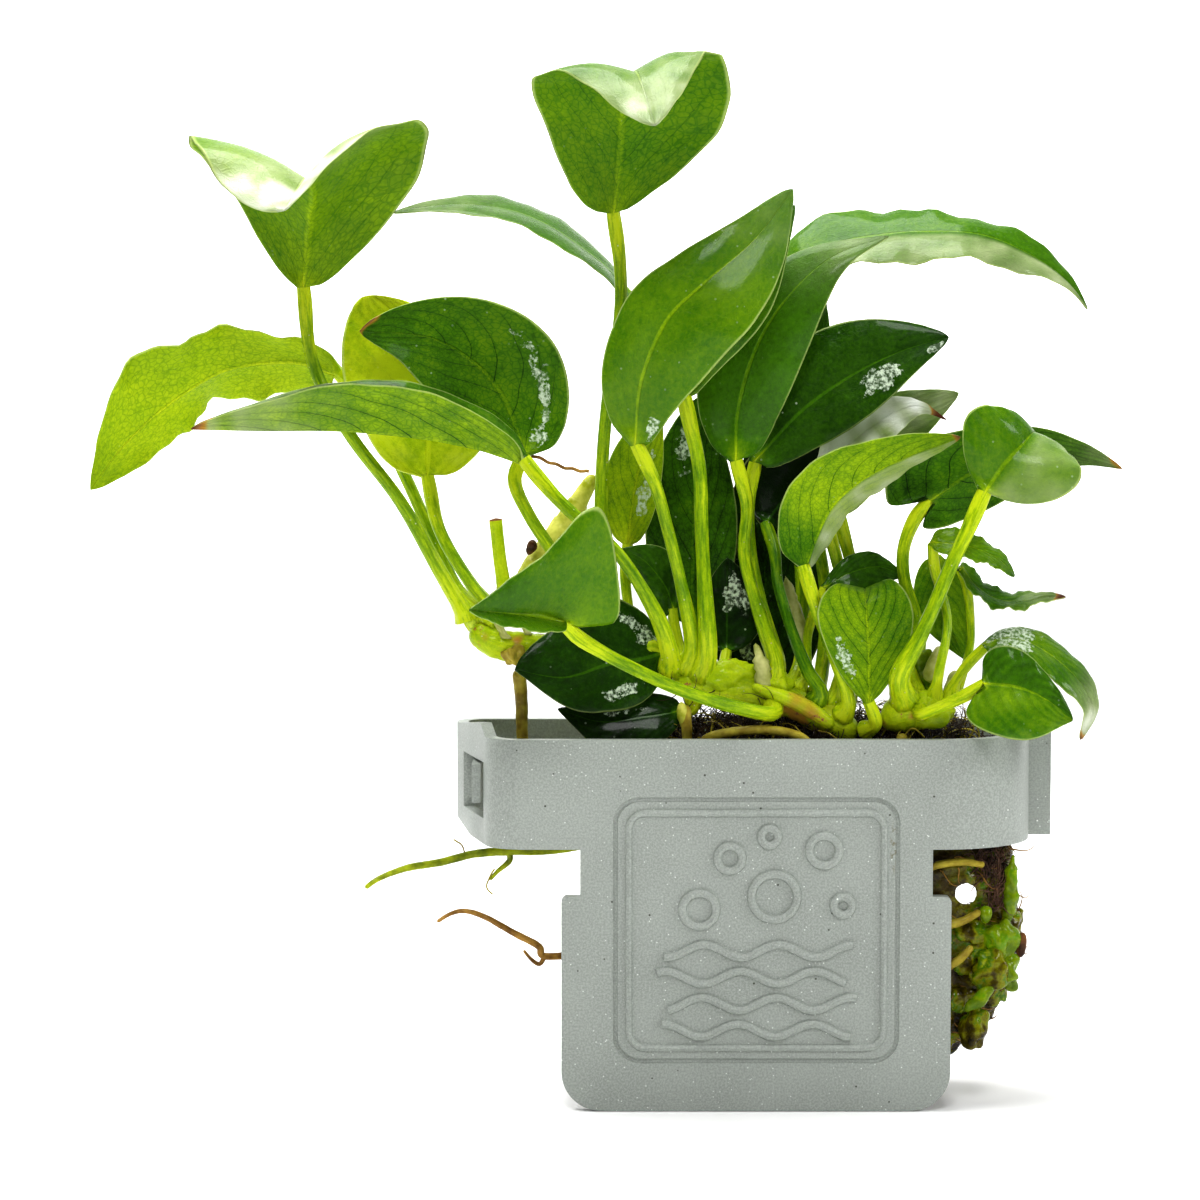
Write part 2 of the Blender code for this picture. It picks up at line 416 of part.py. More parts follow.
def between(values, place):
    """The value at place, from 0 to 1, on a smooth line through evenly spaced values."""
    values = np.asarray(values, float)
    if len(values) == 1:
        return values[0]
    spot = min(max(place, 0.0), 1.0) * (len(values) - 1)
    first = min(int(spot), len(values) - 2)
    t = spot - first
    start, end = values[first], values[first + 1]
    before = values[first - 1] if first else 2 * start - end
    after = values[first + 2] if first + 2 < len(values) else 2 * end - start
    bend = 2 * before - 5 * start + 4 * end - after
    turn = 3 * start - before - 3 * end + after
    return 0.5 * (2 * start + (end - before) * t + bend * t**2 + turn * t**3)


def unit(vector):
    """The vector at length one."""
    return vector / np.linalg.norm(vector)


def leaf_outline(place, widest):
    """How wide an ovate blade is at place, from 0 at the base to 1 at the tip."""
    base_power = 0.75 * widest / (1 - widest)
    rise = (place / widest) ** base_power
    return rise * ((1 - place) / (1 - widest)) ** 0.75


def object_from(mesh_data, name, collection, material=None):
    """Writes a bmesh into a new object."""
    mesh = bpy.data.meshes.new(name)
    mesh_data.to_mesh(mesh)
    mesh_data.free()
    thing = bpy.data.objects.new(name, mesh)
    if material:
        mesh.materials.append(material)
    collection.objects.link(thing)
    return thing


def loft(rings, tip):
    """A closed body over rings of points, flat at the first and drawn to a point at the tip."""
    body = bmesh.new()
    rows = [[body.verts.new(point) for point in ring] for ring in rings]
    sides = len(rows[0])
    for low, high in zip(rows, rows[1:]):
        for side in range(sides):
            after = (side + 1) % sides
            body.faces.new((low[side], low[after], high[after], high[side]))
    body.faces.new(reversed(rows[0]))
    point = body.verts.new(tip)
    for side in range(sides):
        body.faces.new((rows[-1][side], rows[-1][(side + 1) % sides], point))
    bmesh.ops.recalc_face_normals(body, faces=body.faces)
    return body


def stalk_root(leaf, centre_lines):
    """Where the stalk starts: off the stem's skin, towards the stalk's first place."""
    line, radius = centre_lines[leaf.stem]
    guide = seen(*leaf.stalk[0])
    nearest = line[np.argmin(np.linalg.norm(line - guide, axis=1))]
    return nearest + unit(guide - nearest) * (radius + GAP + 0.3 * leaf.foot_radius * MM)


def stalk_rings(line, side, leaf):
    """Round sections up the stalk, and the side direction at each."""
    rings = []
    last = len(line) - 1
    for step in range(last, -1, -1):
        along = unit(line[min(step + 1, last)] - line[max(step - 1, 0)])
        side = unit(side - np.dot(side, along) * along)
        up = np.cross(side, along)
        share = step / last
        radius = leaf.foot_radius + (leaf.stalk_radius - leaf.foot_radius) * min(1, 2.5 * share)
        radius *= 0.6 if step == 0 else 1
        turns = [math.radians(45 * k) for k in range(8)]
        rings.append([line[step] + radius * MM * (math.cos(a) * side + math.sin(a) * up) for a in turns])
    return rings[::-1]


def blade_ring(place, centre, along, leaf):
    """A lens-shaped section across both halves of the blade."""
    width = leaf_outline(place, leaf.widest)
    across = {}
    for half in ("right", "left"):
        reach = between(getattr(leaf, half), place)
        across[half] = np.array((reach[0], reach[2], reach[1])) * MM * width
    side = unit(across["right"] - across["left"])
    neck = leaf.stalk_radius * MM * (1 - place) ** 2 * 0.8
    right = across["right"] + side * neck
    left = across["left"] - side * neck
    right_up = unit(np.cross(right, along))
    left_up = unit(np.cross(along, left))
    up = unit(right_up + left_up)
    thick = MIDRIB_HALF + (leaf.stalk_radius * MM - MIDRIB_HALF) * max(0, 1 - 8 * place)
    thin = BLADE_HALF + (thick - BLADE_HALF) * max(0, 1 - 8 * place)
    return [
        centre + right,
        centre + right / 2 + right_up * thin,
        centre + up * thick,
        centre + left / 2 + left_up * thin,
        centre + left,
        centre + left / 2 - left_up * thin,
        centre - up * thick,
        centre + right / 2 - right_up * thin,
    ]


def make_leaf(leaf, centre_lines, collection, materials):
    """One leaf, stalk and blade in one body."""
    stalk = [stalk_root(leaf, centre_lines)] + [seen(*place) for place in leaf.stalk]
    blade = [stalk[-1]] + [seen(*place) for place in leaf.blade]
    lower = smooth_line(stalk, STALK_STEPS)
    fine = smooth_line(blade, 101)
    rings = []
    for place in BLADE_STATIONS:
        spot = round(place * 100)
        along = unit(fine[min(spot + 4, 100)] - fine[max(spot - 4, 0)])
        rings.append(blade_ring(place, fine[spot], along, leaf))
    side = unit(rings[0][0] - rings[0][4])
    body = loft(stalk_rings(lower, side, leaf) + rings, fine[-1])
    return object_from(body, leaf.name, collection, materials[leaf.material])


def make_tube(stem, collection, materials):
    """A stem or root, as a curve with a round section that swells and narrows."""
    line = smooth_line([seen(*place) for place in stem.points], stem.steps)
    curve = bpy.data.curves.new(stem.name, "CURVE")
    curve.dimensions = "3D"
    curve.bevel_depth = MM
    curve.bevel_resolution = (stem.sides - 4) // 2
    curve.use_fill_caps = True
    spline = curve.splines.new("POLY")
    spline.points.add(len(line) - 1)
    for index, (point, place) in enumerate(zip(spline.points, line)):
        point.co = (*place, 1)
        point.radius = between(stem.radii, index / (len(line) - 1))
    curve.materials.append(materials[stem.material])
    thing = bpy.data.objects.new(stem.name, curve)
    collection.objects.link(thing)
    return thing


def rounded_outline(corners, segments=5):
    """An outline through corners, each given as two places and a radius, with arcs at the corners."""
    outline = []
    count = len(corners)
    for index, (x, y, radius) in enumerate(corners):
        corner = Vector((x, y))
        before = (Vector(corners[index - 1][:2]) - corner).normalized()
        after = (Vector(corners[(index + 1) % count][:2]) - corner).normalized()
        if not radius:
            outline.append(corner)
            continue
        half = before.angle(after) / 2
        centre = corner + (before + after).normalized() * radius / math.sin(half)
        start = corner + before * radius / math.tan(half) - centre
        end = corner + after * radius / math.tan(half) - centre
        sweep = start.angle_signed(end)
        for step in range(segments + 1):
            angle = -sweep * step / segments
            turned = Vector((start.x * math.cos(angle) - start.y * math.sin(angle),
                             start.x * math.sin(angle) + start.y * math.cos(angle)))
            outline.append(centre + turned)
    return outline


def wall_along(outline, name, collection, floor, top, thickness, upright, outward=False):
    """A closed wall that stands on an outline, of even thickness on its inner side.

    upright: the outline lies flat and the wall rises in Z. Otherwise the outline stands in the
    plane of the tag's face and the wall runs in Y.
    """
    body = bmesh.new()
    ends = []
    for height in (floor, top):
        if upright:
            ends.append([body.verts.new((p.x, p.y, height)) for p in outline])
        else:
            ends.append([body.verts.new((p.x, height, p.y)) for p in outline])
    for index in range(len(outline)):
        after = (index + 1) % len(outline)
        body.faces.new((ends[0][index], ends[0][after], ends[1][after], ends[1][index]))
    bmesh.ops.recalc_face_normals(body, faces=body.faces)
    thing = object_from(body, name, collection)
    solid = thing.modifiers.new("wall", "SOLIDIFY")
    solid.thickness = thickness
    solid.offset = 1 if outward else -1
    solid.use_even_offset = True
    return thing


def slab(outline, name, collection, front, thickness):
    """A flat plate over an outline in X and Z, from front backwards."""
    body = bmesh.new()
    face = body.faces.new([body.verts.new((p.x, front, p.y)) for p in outline])
    moved = bmesh.ops.extrude_face_region(body, geom=[face])
    verts = [part for part in moved["geom"] if isinstance(part, bmesh.types.BMVert)]
    bmesh.ops.translate(body, verts=verts, vec=(0, thickness, 0))
    bmesh.ops.recalc_face_normals(body, faces=body.faces)
    return object_from(body, name, collection)


def box(name, collection, low, high):
    """A plain box between two corners."""
    body = bmesh.new()
    bmesh.ops.create_cube(body, size=1)
    size = [b - a for a, b in zip(low, high)]
    middle = [(a + b) / 2 for a, b in zip(low, high)]
    bmesh.ops.scale(body, verts=body.verts, vec=size)
    bmesh.ops.translate(body, verts=body.verts, vec=middle)
    return object_from(body, name, collection)


def on_left_wall(profile, name, collection, outside, inside):
    """A prism over a profile that stands in the plane of the ring's slanted left wall."""
    start = Vector((BAND_LEFT_FRONT, TAG_FACE_Y, 0))
    run = (Vector((BAND_LEFT_BACK, TAG_FACE_Y + BAND_DEPTH, 0)) - start).normalized()
    inward = Vector((run.y, -run.x, 0))
    body = bmesh.new()
    rings = []
    for depth in (outside, inside):
        ring = []
        for distance, height in profile:
            place = start + run * distance * MM + inward * depth
            ring.append(body.verts.new((place.x, place.y, height * MM)))
        rings.append(ring)
    for index in range(len(profile)):
        after = (index + 1) % len(profile)
        body.faces.new((rings[0][index], rings[0][after], rings[1][after], rings[1][index]))
    body.faces.new(rings[0])
    body.faces.new(reversed(rings[1]))
    bmesh.ops.recalc_face_normals(body, faces=body.faces)
    return object_from(body, name, collection)


def join_with(thing, other, operation):
    """Adds a Boolean to thing and hides the other shape."""
    modifier = thing.modifiers.new(f"{operation.lower()}_{other.name}", "BOOLEAN")
    modifier.object = other
    modifier.operation = operation
    other.hide_render = True
    other.display_type = "WIRE"


def panel_outline(inset):
    """The rounded square on the tag's face, drawn in by inset."""
    low, high = PANEL_BOTTOM + inset, PANEL_TOP - inset
    half, radius = PANEL_HALF_WIDTH - inset, PANEL_CORNER - inset * 0.6
    return rounded_outline(((-half, low, radius), (half, low, radius),
                            (half, high, radius), (-half, high, radius)), 4)


def make_holder(collection, cutters, materials):
    """The ring band and the tag plate, moulded as one."""
    front, back = TAG_FACE_Y, TAG_FACE_Y + BAND_DEPTH
    ring = rounded_outline(((BAND_LEFT_FRONT, front, 8 * MM), (BAND_RIGHT, front, 19.9 * MM),
                            (BAND_RIGHT, back, 19.9 * MM), (BAND_LEFT_BACK, back, 6 * MM)), 7)
    holder = wall_along(ring, "holder", collection, BAND_BOTTOM, BAND_TOP, BAND_WALL, True)
    holder.data.materials.append(materials["holder_plastic"])
    neck = NECK_HALF_WIDTH
    plate = rounded_outline(((-TAG_HALF_WIDTH, 0, TAG_CORNER), (TAG_HALF_WIDTH, 0, TAG_CORNER),
                             (TAG_HALF_WIDTH, TAG_SHOULDER, 1.2 * MM), (neck, TAG_SHOULDER, 0),
                             (neck, PANEL_TOP, 0), (-neck, PANEL_TOP, 0),
                             (-neck, TAG_SHOULDER, 0), (-TAG_HALF_WIDTH, TAG_SHOULDER, 1.2 * MM)))
    join_with(holder, slab(plate, "tag_plate", cutters, front, TAG_THICKNESS), "UNION")
    rib_y = front + BAND_DEPTH / 2
    rib = box("grip_rib", cutters, (BAND_RIGHT - 1.2 * MM, rib_y, BAND_BOTTOM + 0.2 * MM),
              (BAND_RIGHT + 4.7 * MM, rib_y + 2.2 * MM, BAND_TOP - 0.2 * MM))
    join_with(holder, rib, "UNION")
    slot = box("slot", cutters, (-70 * MM, front + 8 * MM, 58.5 * MM),
               (-51 * MM, front + 27 * MM, 70 * MM))
    join_with(holder, slot, "DIFFERENCE")
    tongue = box("slot_tongue", cutters, (-57.6 * MM, front + 9.5 * MM, 61.5 * MM),
                 (-55.8 * MM, back - 1 * MM, 69.4 * MM))
    join_with(holder, tongue, "UNION")
    hump = on_left_wall(END_HUMP, "end_hump", cutters, 0.02 * MM, BAND_WALL - 0.02 * MM)
    join_with(holder, hump, "UNION")
    cut = on_left_wall(END_CUT, "end_cut", cutters, -2 * MM, 9 * MM)
    join_with(holder, cut, "DIFFERENCE")
    groove = wall_along(panel_outline(0), "groove", cutters, front - 1 * MM,
                        front + GROOVE_DEPTH, GROOVE_WIDTH, False)
    join_with(holder, groove, "DIFFERENCE")
    line = wall_along(panel_outline(LINE_INSET), "raised_line", cutters, front - LINE_HEIGHT,
                      front + 0.3 * MM, LINE_WIDTH, False)
    join_with(holder, line, "UNION")
    return holder


def make_stone(collection, cutters, materials):
    """The stone: rounded levels from a flat foot up, roughened, with a gap near its right end."""
    body = bmesh.new()
    rings = []
    for height, left, right, half_depth in STONE_LEVELS:
        middle, half = (left + right) / 2, (right - left) / 2
        ring = []
        for side in range(STONE_SIDES):
            angle = 2 * math.pi * side / STONE_SIDES
            cosine, sine = math.cos(angle), math.sin(angle)
            square = (abs(cosine) ** 3 + abs(sine) ** 3) ** (-1 / 3)
            place = Vector((middle + half * cosine * square, half_depth * sine * square, height)) * MM
            if height:
                bump = noise.noise(place * 140) + 0.6 * noise.noise(place * 310)
                out = Vector((cosine, sine, 0))
                place += out * min(bump, 0.35) * STONE_ROUGHNESS * 1.5
            ring.append(body.verts.new(place))
        rings.append(ring)
    for low, high in zip(rings, rings[1:]):
        for side in range(STONE_SIDES):
            after = (side + 1) % STONE_SIDES
            body.faces.new((low[side], low[after], high[after], high[side]))
    body.faces.new(reversed(rings[0]))
    _, left, right, _ = STONE_LEVELS[-1]
    crown = body.verts.new(((left + right) / 2 * MM, 0, STONE_TOP))
    for side in range(STONE_SIDES):
        body.faces.new((rings[-1][side], rings[-1][(side + 1) % STONE_SIDES], crown))
    bmesh.ops.recalc_face_normals(body, faces=body.faces)
    stone = object_from(body, "stone", collection, materials["stone_dark"])
    drill = bmesh.new()
    bmesh.ops.create_cone(drill, cap_ends=True, segments=9, radius1=STONE_HOLE_RADIUS,
                          radius2=STONE_HOLE_RADIUS, depth=70 * MM)
    middle, behind = Vector(seen(*STONE_HOLE, 50)), Vector(seen(*STONE_HOLE, 80))
    turn = (behind - middle).to_track_quat("Z", "Y").to_matrix()
    bmesh.ops.rotate(drill, verts=drill.verts, matrix=turn)
    bmesh.ops.translate(drill, verts=drill.verts, vec=middle)
    join_with(stone, object_from(drill, "stone_gap", cutters), "DIFFERENCE")
    return stone


def main():
    clear_scene()
    pieces, cutters = make_collections()
    materials = make_materials()
    make_holder(pieces, cutters, materials)
    make_stone(pieces, cutters, materials)
    centre_lines = {}
    for stem in STEMS + ROOTS:
        make_tube(stem, pieces, materials)
        line = smooth_line([seen(*place) for place in stem.points], 60)
        centre_lines[stem.name] = (line, max(stem.radii) * MM)
    for leaf in LEAVES:
        make_leaf(leaf, centre_lines, pieces, materials)


main()
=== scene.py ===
"""An anubias on a dark stone, gripped in a moulded plastic ring with a tag plate, dressed for looks.

Metres, +Z up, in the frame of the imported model. The plant's places are the ones its solids were
built from: front-view millimetres with their depth behind the tag's face.
"""

import logging
import math
from dataclasses import dataclass
from enum import Enum

import bmesh
import bpy
import numpy as np
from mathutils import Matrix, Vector, noise
from mathutils.bvhtree import BVHTree


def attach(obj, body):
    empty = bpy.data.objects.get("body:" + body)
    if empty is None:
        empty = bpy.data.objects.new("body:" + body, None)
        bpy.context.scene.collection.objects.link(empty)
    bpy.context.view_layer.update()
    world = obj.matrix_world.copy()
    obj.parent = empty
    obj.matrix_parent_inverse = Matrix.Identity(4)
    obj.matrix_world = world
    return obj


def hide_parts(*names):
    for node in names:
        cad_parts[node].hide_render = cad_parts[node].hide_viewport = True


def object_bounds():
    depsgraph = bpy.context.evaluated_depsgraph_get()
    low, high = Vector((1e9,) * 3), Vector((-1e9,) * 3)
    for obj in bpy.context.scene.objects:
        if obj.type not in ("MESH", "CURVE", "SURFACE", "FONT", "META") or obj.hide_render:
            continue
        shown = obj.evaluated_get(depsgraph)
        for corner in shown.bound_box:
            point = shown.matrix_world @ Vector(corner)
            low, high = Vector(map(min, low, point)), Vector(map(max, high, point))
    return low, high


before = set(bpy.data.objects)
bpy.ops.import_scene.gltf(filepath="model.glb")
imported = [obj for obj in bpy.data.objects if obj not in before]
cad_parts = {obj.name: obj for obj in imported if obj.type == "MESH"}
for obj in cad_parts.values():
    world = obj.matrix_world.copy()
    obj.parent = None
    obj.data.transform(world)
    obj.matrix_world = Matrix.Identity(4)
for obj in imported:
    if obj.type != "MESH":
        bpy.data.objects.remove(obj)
CAD_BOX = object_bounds()
LOG = logging.getLogger("anubias_on_stone")

MM = 0.001

# The front view that the plant was measured in
VIEW_DISTANCE = 700 * MM
VIEW_RISE = math.radians(4.5)
AIM = Vector((-31.5 * MM, -20 * MM, 103.7 * MM))
AIM_SEEN = (-31.5, 102.2)
LENS_MM = 105.0

# The holder
TAG_FACE_Y = AIM.y
TAG_THICKNESS = 3 * MM
TAG_HALF_WIDTH = 39.3 * MM
TAG_SHOULDER = 43.7 * MM
TAG_CORNER = 8 * MM
NECK_HALF_WIDTH = 35.5 * MM
BAND_BOTTOM = 53.3 * MM
BAND_TOP = 75.5 * MM
BAND_DEPTH = 40 * MM
BAND_WALL = 2.4 * MM
BAND_RIGHT = 56.9 * MM
BAND_LEFT_FRONT = -53.2 * MM
BAND_LEFT_BACK = -63.2 * MM
PANEL_BOTTOM, PANEL_TOP = 10.3 * MM, 63.5 * MM
PANEL_HALF_WIDTH = 28.4 * MM
PANEL_CORNER = 5 * MM
LINE_INSET = 2.7 * MM
# The ring's left end rises in a hump and its lower back corner is cut: millimetres back, and height
END_HUMP = ((6.4, 74), (6.4, 75.4), (11, 77.8), (21, 76.8), (33, 75.4), (33, 74))
END_CUT = ((22, 52.6), (22, 53.4), (34, 55.4), (46, 57.6), (46, 52.6))

# The stone: height, left end, right end and half depth of each of its levels, in millimetres
STONE_LEVELS = (
    (0, -22, 30, 10.5),
    (5, -26, 37, 13),
    (10, -28.5, 43.2, 14),
    (16, -30, 49.6, 14.8),
    (22, -30.5, 52.6, 15),
    (29, -30.5, 54.8, 15),
    (37, -30, 55.2, 15),
    (45, -29.5, 54.6, 14.5),
    (52, -29, 53.2, 14),
    (62, -27, 50.5, 13),
    (69, -21, 47, 11),
    (74, -13, 41, 7.5),
)
STONE_HOLE = (41.7, 43.5)


@dataclass(frozen=True)
class Stem:
    """A stretch of creeping stem or a root: what it runs through in the front view, and how thick."""

    name: str
    points: tuple
    radii: tuple
    material: str = "stem_green"
    sides: int = 8
    steps: int = 9


@dataclass(frozen=True)
class Leaf:
    """A leaf: its stalk rises from a stem, its blade follows a midrib and spreads to both sides.

    right and left are how far each half reaches where the blade is widest, as across, up and back
    in millimetres, for places that are evenly spaced from base to tip. Right is as seen on the
    glossy upper side with the tip pointing away.
    """

    name: str
    stem: str
    stalk: tuple
    blade: tuple
    right: tuple
    left: tuple
    widest: float = 0.38
    stalk_radius: float = 1.25
    foot_radius: float = 1.6
    material: str = "leaf_green"


STEMS = (
    Stem("rhizome_main", ((-17, 87, 14), (-10, 84.6, 13.5), (-1.5, 83.4, 13), (6, 82, 12.5),
                          (11.5, 79.4, 12), (16, 77.4, 11), (20, 75, 11)),
         (2.9, 3.4, 3.2, 3.5, 3.1, 3.2, 2.4)),
    Stem("rhizome_left", ((-57.5, 96.2, 16), (-52, 93.4, 16), (-45, 92.6, 17), (-35, 92, 19),
                          (-26.5, 89.6, 18), (-21.6, 87.8, 16.2)),
         (2.2, 3.1, 3.0, 2.6, 2.6, 2.2)),
    Stem("rhizome_right", ((25, 77, 10.5), (29, 79.6, 10), (33.5, 80.4, 10), (38, 80, 10)),
         (2.2, 4.0, 4.0, 2.4), steps=6),
    Stem("shoot_thick", ((-46.6, 98.6, 18.5), (-46.4, 104, 20.5), (-40.4, 114, 22.6), (-32.6, 127.2, 24)),
         (3.0, 3.3, 2.6, 1.2), steps=6),
    Stem("stalk_cut", ((-51, 97.2, 13.6), (-50.6, 103, 13.6), (-51.6, 111, 14), (-52.4, 118.6, 14)),
         (1.8, 1.5, 1.35, 1.35), sides=6, steps=4),
    Stem("leaf_sheath", ((34.6, 85.6, 11), (35.4, 89, 11.8), (36.6, 93, 12)),
         (2.2, 1.8, 0.7), "sheath_dry", sides=6, steps=4),
)

ROOTS = (
    Stem("root_into_ring", ((-47.8, 88.4, 17.4), (-47.2, 82, 17.4), (-46.9, 74, 17.4),
                            (-45, 64, 18), (-38, 57.4, 20), (-31.6, 54.4, 21)),
         (1.4, 1.2, 1.1, 0.9), "root_yellow", 6, 7),
    Stem("root_left_green", ((-33, 53.6, 16.6), (-42, 52.2, 16), (-49.3, 52, 14), (-56.7, 51.4, 12),
                             (-63.1, 49.8, 9), (-70.1, 48.6, 6), (-75.5, 46.6, 4), (-78.5, 44.6, 3)),
         (1.1, 0.95, 0.85, 0.75, 0.45), "root_yellow", 6, 9),
    Stem("root_left_green_fork", ((-49.6, 50.1, 14.2), (-51.9, 48, 14.6), (-53.6, 46.2, 15)),
         (0.7, 0.35), "root_yellow", 6, 3),
    Stem("root_left_brown", ((-32, 30.8, 18), (-36, 31.2, 17), (-42.7, 31, 15), (-43.8, 33, 14),
                             (-48.7, 35.6, 12), (-54.5, 38.8, 10), (-58.5, 40, 8), (-61.5, 39.4, 6),
                             (-64.1, 37.8, 5)),
         (0.8, 0.75, 0.7, 0.55, 0.35), "root_brown", 6, 10),
    Stem("root_left_brown_fork", ((-43.6, 29.4, 15.2), (-45.3, 30.4, 15), (-46.8, 32.2, 14.4)),
         (0.55, 0.3), "root_brown", 6, 3),
    Stem("root_arch", ((-11.6, 71, 7), (-10.4, 74.4, 6.2), (-5, 75.8, 5.8), (1.7, 76.2, 5.8),
                       (8.3, 75, 5.8), (12.4, 71.4, 6.6)),
         (0.8, 0.95, 0.95, 0.8), "root_yellow", 6, 8),
    Stem("root_pale", ((-14.6, 81.2, 10), (-14.2, 77, 8.4), (-13.9, 71.6, 8.6)),
         (1.25, 1.1, 0.9), "root_yellow", 6, 4),
    Stem("root_right_stub", ((29, 75.4, 7.4), (28.9, 74, 6.6), (28.8, 71.6, 6.6)),
         (1.2, 1.0, 0.7), "root_yellow", 6, 3),
    Stem("root_stone_upper", ((33.4, 48.2, 4.4), (37, 49.4, 4.5), (41, 49.8, 4.8), (45.5, 49.2, 5.6)),
         (0.7, 0.8, 0.6), "root_yellow", 6, 5),
    Stem("root_stone_middle", ((33, 36.4, 4.4), (37, 37, 4.5), (41, 38, 4.7), (44.6, 40, 5.6)),
         (0.8, 0.9, 0.7), "root_yellow", 6, 5),
    Stem("root_stone_lower", ((32, 27.2, 4.4), (36, 28, 4.5), (40, 30, 4.7), (43, 33, 5.4)),
         (0.7, 0.9, 0.7), "root_yellow", 6, 5),
)

